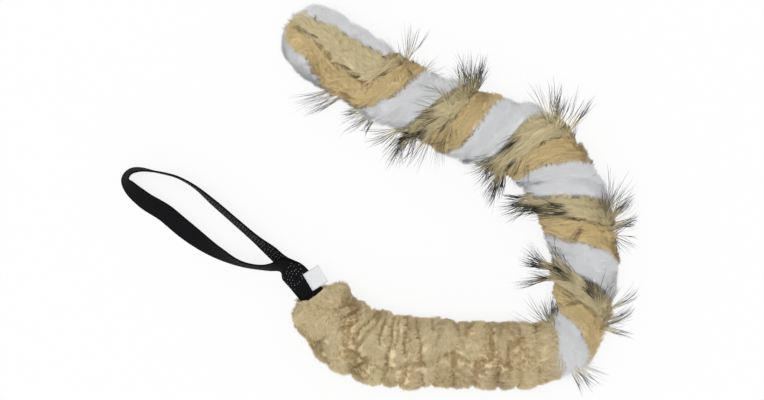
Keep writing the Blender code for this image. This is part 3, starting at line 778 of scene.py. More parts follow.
class WebbingSettings(bpy.types.PropertyGroup):
    """Sizes and colours of the webbing and its label."""

    width: length_setting("Width", "Width of the webbing", 0.025)
    thickness: length_setting("Thickness", "Thickness of the webbing", 0.0018)
    colour: colour_setting("Webbing", "Colour of the nylon", (0.005, 0.005, 0.006))
    lint: colour_setting("Lint", "Colour of the lint on the nylon", (0.014, 0.014, 0.014))
    dot_spacing: length_setting("Dot Spacing", "Distance between grip dots", 0.0034)
    dot_size: length_setting("Dot Size", "Diameter of a grip dot", 0.0009)
    dot_colour: colour_setting("Dots", "Colour of the grip dots", (0.27, 0.29, 0.28))
    label_colour: colour_setting("Label", "Colour of the ribbon", (0.84, 0.85, 0.87))


class PlushSettings(bpy.types.PropertyGroup):
    """Pile and colours of the sleeve."""

    pile: length_setting("Pile", "Length of the plush's hairs", 0.006)
    hair: length_setting("Hair Width", "Half width of one hair", 0.00034)
    creases: FloatProperty(name="Creases", description="How deep the gathers are, 1 as measured", default=1.0,
                           min=0, max=2, subtype="FACTOR")
    colour: colour_setting("Plush", "Colour of the pile", (0.76, 0.625, 0.385))
    # Besides warmer tufts, this colour paints shade in the sleeve's creases and on its top.
    warm: colour_setting("Warm", "Colour of its warmer tufts", (0.44, 0.30, 0.13))


class FurSettings(bpy.types.PropertyGroup):
    """Pile and colours of the tail's three strips."""

    white_pile: length_setting("White Pile", "Length of the white hairs", 0.0085)
    tan_pile: length_setting("Tan Pile", "Length of the tan hairs", 0.0075)
    under_pile: length_setting("Underfur", "Length of the long-haired strip's underfur", 0.011)
    guard_pile: length_setting("Guard Hair", "Length of the black-tipped hairs", 0.042)
    hair: length_setting("Hair Width", "Half width of one hair", 0.00036)
    white: colour_setting("White", "Colour of the white strip", (0.93, 0.935, 0.945))
    tan: colour_setting("Tan", "Colour of the tan strip", (0.73, 0.57, 0.30))
    amber: colour_setting("Amber", "Colour of its warmer tufts", (0.71, 0.51, 0.22))
    straw: colour_setting("Straw", "Colour of the underfur", (0.73, 0.62, 0.37))
    black: colour_setting("Black", "Colour of the guard hairs' tips", (0.018, 0.018, 0.02))


class StageSettings(bpy.types.PropertyGroup):
    """Camera, floor and lamps."""

    distance: length_setting("Camera Height", "Height of the camera over the floor", 2.2)
    frame_width: length_setting("Frame Width", "Width of floor that the camera sees", 0.764)
    sky: FloatProperty(name="Sky", description="Strength of the light from all round", default=0.62, min=0)
    sun: FloatProperty(name="Lamp", description="Strength of the soft lamp", default=1.5, min=0)


class TUG_OT_webbing(bpy.types.Operator):
    """Hand loop and hidden neck plies of black nylon webbing, with rows of rubber grip dots"""

    bl_idname = "tugtoy.webbing"
    bl_label = "Webbing"

    def execute(self, context):
        made = webbing()
        nylon = woven_material("black nylon webbing", tuple(made.colour), tuple(made.lint), 2.0 * MM,
                               1.1 * MM, 0.0, 0.12 * MM, 0.75, 0.0, 0.07)
        stations = np.linspace(0, LOOP.length, 420)
        middles, across = loop_line(stations)
        grid, weave, lines = strap_grid(middles, across, made.width, made.thickness)
        loop = strap_piece("handle_webbing", grid, weave, nylon)
        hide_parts("handle_strap")
        blend_at_fold(loop)

        dots = self.dots(lines)
        blend_at_fold(dots)

        plies = strap_piece("neck_plies", *self.neck_line(), nylon)
        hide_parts("neck_webbing")
        blend_at_fold(plies)
        return {"FINISHED"}

    def neck_line(self):
        """The webbing's two plies inside the sleeve and the eye that it folds into round the bungee."""
        made = webbing()
        ply = (made.thickness + GAP) / 2
        eye = BUNGEE_DIAMETER / 2 + EYE_CLEARANCE + made.thickness / 2
        opening = BIGHT_FROM_MOUTH - 3 * eye
        run = np.linspace(-MOUTH_GAP, BIGHT_FROM_MOUTH, 60)
        rise = ply + (eye - ply) * smooth(run, opening, BIGHT_FROM_MOUTH)
        turn = np.radians(np.linspace(90, -90, 25))[1:-1]
        s = np.concatenate([run, BIGHT_FROM_MOUTH + eye * np.cos(turn), run[::-1]])
        up = np.concatenate([rise, eye * np.sin(turn), -rise[::-1]])
        middles = on_core(s, 0, up)
        _, _, left = CORE.place(s + MOUTH_GAP)
        widths = np.column_stack([left, np.zeros(len(left))])
        grid, weave, _ = strap_grid(middles, widths, made.width, made.thickness, 9, 3)
        return grid, weave

    def dots(self, lines):
        """Low domes in rows: each is two rings of six points and a top, sunk in the webbing's face."""
        middles, across, through, along = lines
        made = webbing()
        step = made.dot_spacing
        rows = np.arange(step, LOOP.length - step, step)
        columns = np.arange(-3, 4) * step
        s, x = (v.ravel() for v in np.meshgrid(rows, columns, indexing="ij"))
        x = x + np.where(np.round(s / step) % 2 == 0, 0.25, -0.25) * step
        rng = np.random.default_rng(3)
        s, x = s + rng.normal(0, 0.12, len(s)) * step, x + rng.normal(0, 0.12, len(x)) * step
        kept = np.any([(s > low * MM) & (s < high * MM) for low, high in DOTTED], axis=0)
        kept &= rng.uniform(0, 1, len(s)) < 0.78
        s, x = s[kept], x[kept]
        centre, side, inward = (read_rows(s, along, rows) for rows in (middles, across, through))
        side = unit(side)
        normal = unit(inward) * self.up_face(inward, s)[:, None]
        centre = centre + side * x[:, None] + normal * (made.thickness / 2 - 0.05 * MM)
        shape = [(1.0, 0.0), (0.75, 0.22)]
        rings = [centre[:, None] + ring(side, np.cross(side, normal), circle(6)) * made.dot_size / 2 * wide
                 + normal[:, None] * made.dot_size * high for wide, high in shape]
        points = np.concatenate([*rings, (centre + normal * made.dot_size * 0.3)[:, None]], axis=1)
        top = cap_triangles(np.arange(6, 12), 12, False)
        colour = tuple(made.dot_colour)
        rubber = worn_material("grip dots", colour, dimmed(colour, 0.5), 120.0, 0.55, 0.0, (1, 1, 1), 0.4)
        return mesh_piece("grip_dots", points, repeated(top, len(s), 13),
                          repeated(grid_quads(2, 6), len(s), 13), None, rubber)

    def up_face(self, through, s):
        """The face that carries dots: the upper one on the neck, and the one towards the loop's inside."""
        _, _, outward = LOOP.place(s)
        facing_out = np.sign(np.sum(through[:, :2] * outward, axis=-1))
        return np.where(s < 38 * MM, np.sign(through[:, 2]), -facing_out)


class TUG_OT_label(bpy.types.Operator):
    """Bare white ribbon, folded once and stitched on the neck"""

    bl_idname = "tugtoy.label"
    bl_label = "Label"

    def execute(self, context):
        ribbon = woven_material("white satin ribbon", tuple(webbing().label_colour), (0.6, 0.62, 0.66),
                                0.5 * MM, 0.35 * MM, 0.4, 0.03 * MM, 0.45, 0.3)
        start, along, away, up = self.frame()
        length, reach, slit = 19.5 * MM, 18.0 * MM, 0.7 * MM
        turn = np.linspace(-math.pi / 2, math.pi / 2, 9)
        out = np.linspace(0, reach, 16)
        a = np.concatenate([out[:-1], reach + slit / 2 * np.cos(turn), out[::-1][1:]])
        b = np.concatenate([np.zeros(15), slit / 2 + slit / 2 * np.sin(turn), np.full(15, slit)])
        b = b + 1.1 * MM * (a / reach) ** 2
        v = np.linspace(-0.5 * MM, length - 0.5 * MM, 14)
        wave = 0.25 * MM * np.sin(v / length * 5.0)[None] * (a / reach)[:, None]
        points = (start + away * a[:, None, None] + along * v[None, :, None]
                  + up * (b[:, None] + wave)[..., None])
        path = along_line(np.column_stack([a, b]))
        label = mesh_piece("folded_label", points, [], grid_quads(len(a), len(v), looped_columns=False), None,
                           ribbon, paired(v, path[:, None]))
        thick = label.modifiers.new("Thickness", "SOLIDIFY")
        thick.thickness, thick.offset = 0.25 * MM, 0
        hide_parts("label")
        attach(label, "label_ribbon")

        thread = self.stitches(start, along, away, up, length)
        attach(thread, "handle")
        return {"FINISHED"}

    def frame(self):
        """Corner of the seam, and the directions along it, away from it and up off the sloping neck."""
        rows = np.array(LOOP_POINTS[:2], float)[:, [0, 1, 3]] * MM
        neck = unit(rows[0] - rows[1])
        up = unit(np.cross(neck, [-neck[1], neck[0], 0]))
        seam = np.array(LABEL_SEAM) * MM
        height = rows[1, 2] - ((seam - rows[1, :2]) @ up[:2]) / up[2]
        corners = np.column_stack([seam, height]) + up * (webbing().thickness + 3 * GAP)
        corners[:, :2] += SHIFT
        along = unit(corners[1] - corners[0])
        return corners[0], along, np.cross(up, along), up

    def stitches(self, start, along, away, up, length):
        """A row of short threads along the seam, each a bent tube of five-sided rings."""
        thread = worn_material("white sewing thread", (0.7, 0.71, 0.73), (0.5, 0.5, 0.52), 300.0, 0.7, 0.2,
                               (0.9, 0.9, 0.9), 0.3)
        count, radius = 9, 0.22 * MM
        first = (np.arange(count) + 0.12) * length / count
        t = np.linspace(0, 1, 6)
        s = first[:, None] + t * length / count * 0.72
        high = 1.15 * MM + 0.3 * MM * np.sin(math.pi * t)
        middle = start + along * s[..., None] + away * 1.4 * MM + up * high[None, :, None]
        taper = np.sqrt(np.clip(np.sin(math.pi * (0.06 + 0.88 * t)), 0, 1))
        rings = middle[:, :, None] + ring(away, up, circle(5)) * radius * taper[:, None, None]
        caps = [(0, 1, 2), (0, 2, 3), (0, 3, 4), (25, 27, 26), (25, 28, 27), (25, 29, 28)]
        return mesh_piece("label_stitches", rings, repeated(caps, count, 30),
                          repeated(grid_quads(6, 5), count, 30), None, thread)


class TUG_OT_sleeve(bpy.types.Operator):
    """Gathered sleeve of beige plush, with its seam, creases and two tack points"""

    bl_idname = "tugtoy.sleeve"
    bl_label = "Plush Sleeve"

    def folds(self, s, a):
        """How far the cloth stands off its plain tube.

        A crease is a bell curve of its depth and width across a line that sways by 0.8 mm, faded out at its
        ends. The seam's groove is a bell curve 3.4 mm deep and wide, times 1 + 0.45 sin of its pleats. A tack
        is one 4.2 mm deep with nine spokes that fade with the distance from it. Puffs are two soft random
        fields. All of it fades to a quarter at the rims.
        """
        deg = np.degrees(a)
        depth = np.zeros(np.broadcast(s, a).shape)
        for left, seam, low, high, deep, wide in CREASES:
            run = np.clip((deg - low) / (high - low), 0, 1)
            line = (left + (seam - left) * run) * MM + 0.8 * MM * np.sin(deg / 9 + left)
            faded = deep * MM * window(deg, low - 10, low + 14, high - 14, high + 10)
            depth = depth - faded * np.exp(-(((s - line) / (wide * MM)) ** 2))
        table = np.array(SEAM, float)
        seam_at = np.interp(s / MM, table[:, 0], table[:, 1])
        away = (deg - seam_at) * SLEEVE_ARC
        pucker = 1 + 0.45 * np.sin(s / MM * 2 * math.pi / PLEAT)
        depth = depth - 3.4 * MM * window(s, *SEAM_GROOVE) * np.exp(-((away / 3.4) ** 2)) * pucker
        for at, angle in TACKS:
            ds, da = s / MM - at, (deg - angle) * SLEEVE_ARC
            near = np.hypot(ds, da)
            spokes = np.sin(np.arctan2(da, ds) * 9 + 0.7 * np.sin(near / 5))
            depth = depth - 4.2 * MM * np.exp(-((near / 5.5) ** 2))
            depth = depth + 1.5 * MM * spokes * np.exp(-near / 15) * smooth(near, 3, 8)
        body = window(s, 0, 12 * MM, SLEEVE_LENGTH - 12 * MM, SLEEVE_LENGTH)
        puffs = ripple(s, a, 5, 7, 34 * MM) * 1.3 * MM + ripple(s, a, 8, 8, 15 * MM) * 0.7 * MM
        return (depth * plush().creases + puffs) * (0.25 + 0.75 * body)

    def outside(self, s, a, inset=0.0):
        """The cloth's outer face.

        To the left it is the half width plus the folds, times cos a, and up it is 0.76 times that by sin a.
        Below the core the height is eased down to the floor, where the sleeve is pressed flat. Both rims are
        drawn in as part of a quarter round. The neck's rim is shifted by 4.25 cos a + 5.75 sin a - 1.75 mm,
        to puff out at the right and stay clear of the label, beside which the cloth has a lump: 5 mm times a
        bell curve of 0.6 radians and 7 mm.
        """
        drawn = np.maximum(np.clip(1 - s / NECK_ROUND, 0, 0.75),
                           0.35 * np.clip(1 - (SLEEVE_LENGTH - s) / TAIL_PUFF, 0, 1))
        lump = 5 * MM * np.exp(-((from_zero(a) / 0.6) ** 2) - ((s - 6 * MM) / (7 * MM)) ** 2)
        radius = (spread(SLEEVE_OUTSIDE, s) + self.folds(s, a) + lump - inset) * np.sqrt(1 - drawn**2)
        body = window(s, 0, 14 * MM, SLEEVE_LENGTH - 14 * MM, SLEEVE_LENGTH)
        up = radius * SLEEVE_LOFT * np.maximum(np.sin(a), 0)
        low = (radius * SLEEVE_LOFT * (1 - body) + CORE_HEIGHT * body) * np.maximum(-np.sin(a), 0)
        rim = (4.25 * np.cos(a) + 5.75 * np.maximum(np.sin(a), -0.2) - 1.75) * MM
        rim = rim * (1 - smooth(s, 0, 35 * MM))
        past = TAIL_PUFF * smooth(s, SLEEVE_LENGTH - 25 * MM, SLEEVE_LENGTH)
        points = on_core(s + rim + past, radius * np.cos(a), up - low)
        points[..., 2] = np.maximum(points[..., 2], FLOOR + inset * 0.2)
        return points

    def bore(self, s, a):
        return on_core(s, spread(SLEEVE_BORE, s) * np.cos(a), spread(SLEEVE_BORE, s, 2) * np.sin(a))

    def shell(self):
        """Rings along the outside, over a rolled rim, back through the bore and over the other rim."""
        a, s = circle(120), np.linspace(0, SLEEVE_LENGTH, 250)
        out = self.outside(s[:, None], a[None], 2.1 * MM)
        back = np.linspace(SLEEVE_LENGTH, 0, 40)
        inner = self.bore(back[:, None], a[None])
        rims = []
        for one, other, sign in ((out[-1], inner[0], 1), (inner[-1], out[0], -1)):
            _, ahead, _ = CORE.place(np.array(CORE.length if sign > 0 else MOUTH_GAP))
            u = np.linspace(0, 1, 7)[1:-1, None, None]
            roll = np.sin(math.pi * u) * 2.2 * MM * sign
            rims.append(one * (1 - u) + other * u + np.array([*ahead, 0]) * roll)
        return np.concatenate([out, rims[0], inner, rims[1]])

    def pile(self, low, high, tufts, seed):
        """Short hairs in small tufts, fewer underneath, combed every way and out over the neck's rim."""
        rng = np.random.default_rng(seed)
        centres = np.column_stack([rng.uniform(low, high, tufts), rng.uniform(-0.75, math.pi + 0.75, tufts)])
        under = rng.uniform(0, 1, tufts) < 0.12
        centres[under, 1] = rng.uniform(math.pi + 0.5, 2 * math.pi - 0.5, under.sum())

        def comb_turn(s, a):
            swirl = ripple(s, a, 21, 6, 26 * MM) * 1.1 + ripple(s, a, 22, 6, 60 * MM) * 0.9
            inner = window(s, 2 * MM, 26 * MM, SLEEVE_LENGTH - 24 * MM, SLEEVE_LENGTH - 2 * MM)
            return swirl * inner + math.pi * (1 - smooth(s, 2 * MM, 26 * MM))

        def tint_of(s, a):
            # Painted shade: the tint runs towards the warm colour in the creases and on the top, which leaves
            # the rims paler; the ripple is tone by chance.
            crease_shade = np.clip(-self.folds(s, a) / (3 * MM), 0, 1)
            middle = np.maximum(np.sin(a), 0) ** 2
            return 0.42 + 0.16 * middle + 0.11 * ripple(s, a, 31, 6, 34 * MM) + 0.5 * crease_shade

        look = {"per": 14, "reach": 2.0 * MM, "radius": 33 * MM, "pile": plush().pile, "hair": plush().hair,
                "lean": (0.72, 1.0), "curl": 0.3 * MM, "gather": 0.35, "rings": np.array([0, 1.0]),
                "rough": 0.1, "round": 0.5, "speckle": 0.1, "lift": 1.0}
        return grow(lambda s, a: self.outside(s, a, 1.9 * MM), centres, look, comb_turn, tint_of, seed,
                    lambda s: np.ones(len(s)))

    def execute(self, context):
        tone = np.array(plush().colour)
        # tone * 0.8 at the roots is painted shade deep in the pile; warm also serves as painted shade in the
        # creases and on the top.
        material = pile_material("beige plush", tone * 0.8, tone, np.clip(tone * 1.12, 0, 1), plush().warm,
                                 0.5, 0.55, 0.4, sheen=0.9)
        grid = self.shell()
        size = grid.shape[:2]
        cloth = mesh_piece("plush_sleeve", grid, [], grid_quads(*size, True)[:, ::-1], cloth_places(*size),
                           material)
        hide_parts("sleeve")
        pieces = [cloth]
        bounds = [0, 130 * MM, SLEEVE_LENGTH]
        for i, name in enumerate(["sleeve_pile_neck_half", "sleeve_pile_tail_half"]):
            points, faces, uv, normals = self.pile(bounds[i], bounds[i + 1], SLEEVE_TUFTS, 40 + i)
            pieces.append(mesh_piece(name, points, faces, [], uv, material, normals=normals))
        start, end = on_core(np.array([BIGHT_FROM_MOUTH, SLEEVE_LENGTH - TAIL_ROOT_DEPTH]), 0, 0)
        for piece in pieces:
            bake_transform(piece)
        return {"FINISHED"}


class TUG_OT_bungee(bpy.types.Operator):
    """Doubled elastic inside the sleeve, and the tape that binds its ends to the tail"""

    bl_idname = "tugtoy.bungee"
    bl_label = "Bungee"

    def execute(self, context):
        half = BUNGEE_DIAMETER / 2
        wide, tight = webbing().width / 2 + 1 * MM + half, half + END_SPREAD / 2
        far, corner = SLEEVE_LENGTH - TAIL_ROOT_DEPTH - 2 * GAP, 7 * MM
        run = np.linspace(far, BIGHT_FROM_MOUTH + corner, 60)
        beside = tight + (wide - tight) * (1 - smooth(run, BIGHT_FROM_MOUTH + 16 * MM, far - 24 * MM))
        turn = np.linspace(0, math.pi / 2, 9)[1:]
        s = np.concatenate([run, BIGHT_FROM_MOUTH + corner * (1 - np.sin(turn))])
        aside = np.concatenate([beside, wide - corner * (1 - np.cos(turn))])
        s = np.concatenate([s, [BIGHT_FROM_MOUTH] * 3, s[::-1]])
        aside = np.concatenate([aside, [6 * MM, 0, -6 * MM], -aside[::-1]])
        line = on_core(s, aside, 0)
        ahead = unit(np.gradient(line, axis=0))
        across = unit(np.cross(ahead, [0, 0, 1]))
        a = circle(16)
        grid = line[:, None] + ring(across, np.array([0, 0, 1.0]), a) * half
        weave = paired(along_line(line)[:, None], a * half)
        braid = woven_material("braided elastic", (0.05, 0.05, 0.055), (0.35, 0.35, 0.35), 2.4 * MM, 1.6 * MM,
                               1.0, 0.2 * MM, 0.55, 0.1)
        cord = strap_piece("doubled_bungee", grid, weave, braid)
        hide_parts("bungee_cord")
        start, end = on_core(np.array([BIGHT_FROM_MOUTH + 2 * corner, SLEEVE_LENGTH - TAIL_ROOT_DEPTH]), 0, 0)
        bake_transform(cord)
        self.cuff()
        return {"FINISHED"}

    def cuff(self):
        """Wound tape: the binding's rings, stepped out by one turn's edge every 4 mm, outside and inside."""
        start = SLEEVE_LENGTH - TAIL_ROOT_DEPTH
        half = BUNGEE_DIAMETER / 2
        apart = (BUNGEE_DIAMETER + END_SPREAD) / 2
        strips = spread(TAIL_HALF_WIDTH, np.array([-TAIL_ROOT_DEPTH, 8 * MM - TAIL_ROOT_DEPTH]))
        at = np.array([-14 * MM, -3 * MM, -GAP, 8 * MM])
        s = np.linspace(at[0], at[-1], 60)
        a = circle(40)
        wide = np.interp(s, at, [half, half, *strips])[:, None]
        high = np.interp(s, at, [half, half, *(strips * TAIL_FLATNESS)])[:, None]
        gap = np.interp(s, at, [apart, apart, 0, 0])[:, None]
        turns = (s[:, None] / (4 * MM) + a / (2 * math.pi)) % 1
        layers = []
        for grow_by in (2.0 * MM - 0.45 * MM * turns, np.full((len(s), len(a)), 0.45 * MM)):
            aside = np.cos(a) * (wide + grow_by) + np.sign(np.cos(a).round(6)) * gap
            layers.append(on_core(start + s[:, None], aside, np.sin(a) * (high + grow_by)))
        grid = np.concatenate([layers[0], layers[1][::-1]])
        along = np.concatenate([s, s[::-1]])
        weave = paired(along[:, None], a * 12 * MM)
        tape = woven_material("cotton tape", (0.5, 0.42, 0.3), (0.6, 0.55, 0.45), 0.9 * MM, 0.7 * MM, 0.0,
                              0.08 * MM, 0.8, 0.2)
        made = mesh_piece("tape_cuff", grid, [], grid_quads(len(along), len(a), True)[:, ::-1], None, tape,
                          weave)
        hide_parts("tail_root_cuff")
        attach(made, "bungee_end")


def twist(s):
    """Angle of the white strip from the tail's top, growing to the left, and a little back at the end."""
    turns = (np.minimum(s, TWIST_END) - TWIST_START) / TWIST_LAY
    return 2 * math.pi * turns + math.radians(TURN_BACK) * smooth(s, 440 * MM, 480 * MM)


def shares(s):
    """The three strips' shares of the tail's round, in radians."""
    table = np.array(STRIP_SHARES, float)
    return [np.radians(np.interp(s / MM, table[:, 0], column)) for column in table.T[1:]]


def strip_middle(number, s):
    """Angle from the middle of the white strip's back to that of another's."""
    share = shares(s)
    return sum(share[:number]) + (share[number] - share[0]) / 2


def strip_span(number, s):
    """Half of a strip's share."""
    return shares(s)[number] / 2


def tail_line(s):
    """Point, left-hand side and height of the tail's middle, which follows the core inside the sleeve."""
    s = np.asarray(s, float)
    inner, _, inner_left = CORE.place(CORE.length + np.minimum(s, 0))
    outer, _, outer_left = TAIL.place(np.maximum(s, 0))
    hidden = (s < 0)[..., None]
    resting = spread(TAIL_HALF_WIDTH, s) * TAIL_FLATNESS - TAIL_SETTLE
    free = smooth(s, 0, 30 * MM)
    return (np.where(hidden, inner, outer), np.where(hidden, inner_left, outer_left),
            CORE_HEIGHT * (1 - free) + resting * free)


class TUG_OT_tail(bpy.types.Operator):
    """Tail of three twisted fur strips: dense white, tan plush, and long hair with black tips"""

    bl_idname = "tugtoy.tail"
    bl_label = "Fur Tail"

    def strip(self, number, s, alpha, inset):
        """A strip's face: a rounded wedge, read by the angle alpha round a hub on its middle line.

        With h the tail's half width, R = h - inset and c = 0.55 h, the reach from the hub is the back's
        b = sqrt(R^2 - (c sin alpha)^2) - c cos alpha and the walls' d = (c sin k - gap/2 - inset/2)
        / sin(|alpha| - k), where k is half the strip's share of the round, rounded together as
        (b^-7 + d^-7)^(-1/7). The hub circles the tail's middle by the twist, and heights are times 0.72.
        """
        s, alpha = np.broadcast_arrays(s, alpha)
        half = spread(TAIL_HALF_WIDTH, s)
        inset = inset * np.clip(half / (30 * MM), 0.3, 1)
        span, hub = strip_span(number, s), HUB * half
        outer = half * (1 + 0.045 * ripple(s, alpha, 60 + number, 6, 30 * MM)) - inset
        back = np.sqrt(outer**2 - (hub * np.sin(alpha)) ** 2) - hub * np.cos(alpha)
        wall = hub * np.sin(np.minimum(span, 1.3)) - STRIP_GAP / 2 - inset / 2
        past = np.maximum(from_zero(alpha) - span, 0)
        inverse = back**-ROUNDNESS + (np.sin(past) / wall) ** ROUNDNESS
        tip = np.clip((s - (TAIL_LENGTH - TIP_ROUNDING)) / TIP_ROUNDING, 0, 0.98)
        rounded = np.sqrt(1 - tip**2)
        reach = inverse ** (-1 / ROUNDNESS) * rounded
        middle = twist(s) - strip_middle(number, s)
        out, beside = hub * rounded + reach * np.cos(alpha), reach * np.sin(alpha)
        point, left, height = tail_line(s)
        flat = point + left * (out * np.sin(middle) - beside * np.cos(middle))[..., None]
        up = (out * np.cos(middle) + beside * np.sin(middle)) * TAIL_FLATNESS
        return raised(flat, np.maximum(height + up, FLOOR))

    def skin(self, number, low, high, inset):
        """A closed tube of the strip's backing between two places, with its places on the bake map."""
        rows, columns = int((high - low) / (2 * MM)), 40
        s = np.linspace(low, high, rows)
        s, a = np.meshgrid(s, circle(columns), indexing="ij")
        grid, normal, along, _ = surface_frame(lambda s, a: self.strip(number, s, a, inset), s, a)
        points, ends = closed_ends(grid, True)
        normals = np.concatenate([normal.reshape(-1, 3), -along[:1, 0], along[-1:, 0]])
        places = cloth_places(rows, columns)
        return points, ends, grid_quads(rows, columns), np.concatenate([places, places[[0, -1]]]), normals

    def centres(self, number, low, high, density, rng):
        """Tufts' places over the back of a strip, spread evenly round the tail's middle; fewer underneath.

        density is in tufts to the square metre. A place at the angle phi from the tail's middle has
        tan alpha = sin phi / (cos phi - 0.55).
        """
        widest = strip_span(number, np.array([low, high])).max()
        tufts = int((high - low) * 2 * widest * TUFT_RADIUS * density)
        s = rng.uniform(low, high, tufts)
        span = strip_span(number, s)
        phi = span * rng.uniform(-1.07, 1.07, tufts)
        under = np.cos(twist(s) - strip_middle(number, s) - phi) < -0.45
        kept = rng.uniform(0, 1, tufts) < span / widest * np.where(under, 0.4, 1)
        s, phi = s[kept], phi[kept]
        return np.column_stack([s, np.arctan2(np.sin(phi), np.cos(phi) - HUB)])

    def pile(self, number, low, high, look, seed):
        centres = self.centres(number, low, high, look["density"], np.random.default_rng(seed))

        def comb_turn(s, a):
            forward = look["comb"] + ripple(s, a, 70 + number, 6, 24 * MM) * look["swirl"]
            return forward + (math.pi - forward) * (1 - smooth(s, 4 * MM, 18 * MM))

        def longer(s):
            return 1 + look["overhang"] * (1 - smooth(s, 10 * MM, 24 * MM))

        def tint_of(s, a):
            return look["tint"] + look["mottle"] * ripple(s, a, 80 + number, 6, 36 * MM)

        return grow(lambda s, a: self.strip(number, s, a, look["inset"]), centres, look, comb_turn, tint_of,
                    seed, longer)

    def guards(self, low, high, seed):
        """Locks of long hairs on the long-haired strip, which lie flat on top and stand out at the sides."""
        rng = np.random.default_rng(seed)
        centres = self.centres(2, low, high, LOCKS["density"], rng)
        centres = centres[centres[:, 0] < GUARDS_END]

        def backing(s, a):
            return self.strip(2, s, a, 3 * MM)

        _, normal, _, _ = surface_frame(backing, *centres.T)
        centres = centres[rng.uniform(0, 1, len(centres)) < 1 - 0.6 * smooth(normal[:, 2], 0.4, 0.8)]
        under = self.under_locks(low, high)
        rings = np.array([0, 0.25, 0.5, 0.75, 1.0])
        places = np.concatenate([centres, under])
        s, a, which = tuft_places(places, LOCKS["per"], LOCKS["reach"], 20 * MM, rng)
        count, tufts, own = len(s), len(places), LOCKS["per"] * len(centres)
        frames = [surface_frame(backing, s[:own], a[:own]),
                  surface_frame(lambda s, a: self.strip(0, s, a, 3 * MM), s[own:], a[own:])]
        root, normal, along, around = (np.concatenate(pair) for pair in zip(*frames))
        _, _, left = TAIL.place(np.maximum(s, 0))
        upward = np.clip(normal[:, 2], 0, 1)
        rightward = np.clip(-np.sum(normal[:, :2] * left, axis=-1), 0, 1)
        comb = unit(swung(along, around, 0.9 * rightward + by_chance(rng, which, 0.35, 0.19)))
        lean = 0.55 + 0.78 * upward**2 + by_chance(rng, which, 0.12, 0.1)
        long = fur().guard_pile * rng.uniform(0.7, 1.15, tufts)[which] * rng.uniform(0.72, 1.12, count)
        lean = np.clip(lean, 0.35, 1.4)
        bend = rng.uniform(-0.1, 0.45, tufts)[which]
        lines = hair_points(root, normal, comb, long, (lean, lean + bend), 1.8 * MM, rings, rng)
        lines = drawn_together(lines, which, rng.uniform(-0.3, 0.25, tufts)[which][:, None], rings)
        side = np.cross(normal, comb)
        tint = np.clip(0.45 + by_chance(rng, which, 0.12, 0.12), 0.02, 0.98)
        width = np.where(rng.uniform(0, 1, count) < 0.5, 0.45, 0.26) * MM
        facing = unit(normal + rng.normal(0, 0.15, (count, 3)) + np.array([0, 0, 0.4]))
        return hair_mesh(lines, side, width, tint, rings, facing, 0.45)

    def under_locks(self, low, high):
        """Places (s, a) on the white strip of the locks that come out from under it."""
        s, angle = np.array(UNDER_LOCKS, float).T
        s = s * MM
        phi = twist(s) - np.radians(angle)
        places = np.column_stack([s, np.arctan2(np.sin(phi), np.cos(phi) - HUB)])
        return places[(s >= low) & (s < high)]

    def looks(self):
        """What grows on each strip, in tufts to the square metre, and last the guard hairs' material."""
        white, tan, amber, straw, black = (
            np.array(getattr(fur(), name)) for name in ("white", "tan", "amber", "straw", "black"))
        shared = {"per": 12, "reach": 2.4 * MM, "radius": 20 * MM, "rings": np.array([0, 0.5, 1.0]),
                  "lift": 0.4, "hair": fur().hair, "inset": 3.6 * MM, "gather": 0.45, "tint": 0.5,
                  "mottle": 0.14, "overhang": 0}
        # The first colour of each material, at the roots, is darker as painted shade deep in the pile.
        return [
            {**shared, "slot": "white_fur", "pile": fur().white_pile, "lean": (0.95, 1.15), "curl": 0.3 * MM,
             "gather": 0.1, "comb": 0.75, "swirl": 0.25, "tint": 0.45, "rings": np.array([0, 1.0]),
             "density": 165000, "rough": 0.05, "mottle": 0.1, "round": 0.2, "speckle": 0.05, "overhang": 1.0,
             "material": pile_material("white fur", white * 0.95, white, white, white * (0.98, 0.98, 0.97),
                                       0.3, 0.5, 0.06)},
            {**shared, "slot": "tan_fur", "pile": fur().tan_pile, "lean": (0.6, 1.15), "curl": 0.8 * MM,
             "comb": 0.45, "swirl": 0.8, "density": 92000, "rough": 0.19, "round": 0.45, "speckle": 0.11,
             "material": pile_material("tan plush fur", tan * 0.78, tan, np.clip(tan * 1.08, 0, 1), amber,
                                       0.4, 0.6, 0.35)},
            {**shared, "slot": "long_hair_fur", "pile": fur().under_pile, "inset": 4 * MM, "lean": (0.9, 1.3),
             "curl": 0.7 * MM, "comb": 0.15, "swirl": 0.5, "density": 88000, "rough": 0.15, "round": 0.3,
             "speckle": 0.08,
             "material": pile_material("long hair underfur", straw * 0.8, straw, straw * 0.95, straw * 0.85,
                                       0.4, 0.6, 0.35)},
            {"material": pile_material("black-tipped guard hair", straw * 0.95, straw, black, black * 6,
                                       0.1, 0.22, 0.3, tip_ends=0.62)},
        ]

    def execute(self, context):
        looks = self.looks()
        names = ["root", "1", "2", "3", "4", "5"]
        for k in range(5):
            low, high = TAIL_CUTS[k] * MM, TAIL_CUTS[k + 1] * MM
            fluffy = max(low, -6 * MM)  # no hair grows deeper in the sleeve
            pieces = []
            for number, strip in enumerate(STRIPS):
                look = looks[number]
                skin = self.skin(number, low, high, look["inset"] + 0.2 * MM)
                *mesh, normals = joined(skin, self.pile(number, fluffy, high, look, 100 + 10 * k + number))
                piece = mesh_piece(f"{strip}_fur_{k + 1}", *mesh, look["material"], normals=normals)
                nodes = [f"{strip}_{names[k]}", f"{strip}_{names[k + 1]}"]
                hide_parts(*nodes)
                pieces.append(piece)
            points, faces, uv, normals = self.guards(max(fluffy, 4 * MM), high, 200 + k)
            piece = mesh_piece(f"guard_hair_{k + 1}", points, faces, [], uv, looks[3]["material"],
                               normals=normals)
            for piece in [*pieces, piece]:
                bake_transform(piece)
        return {"FINISHED"}


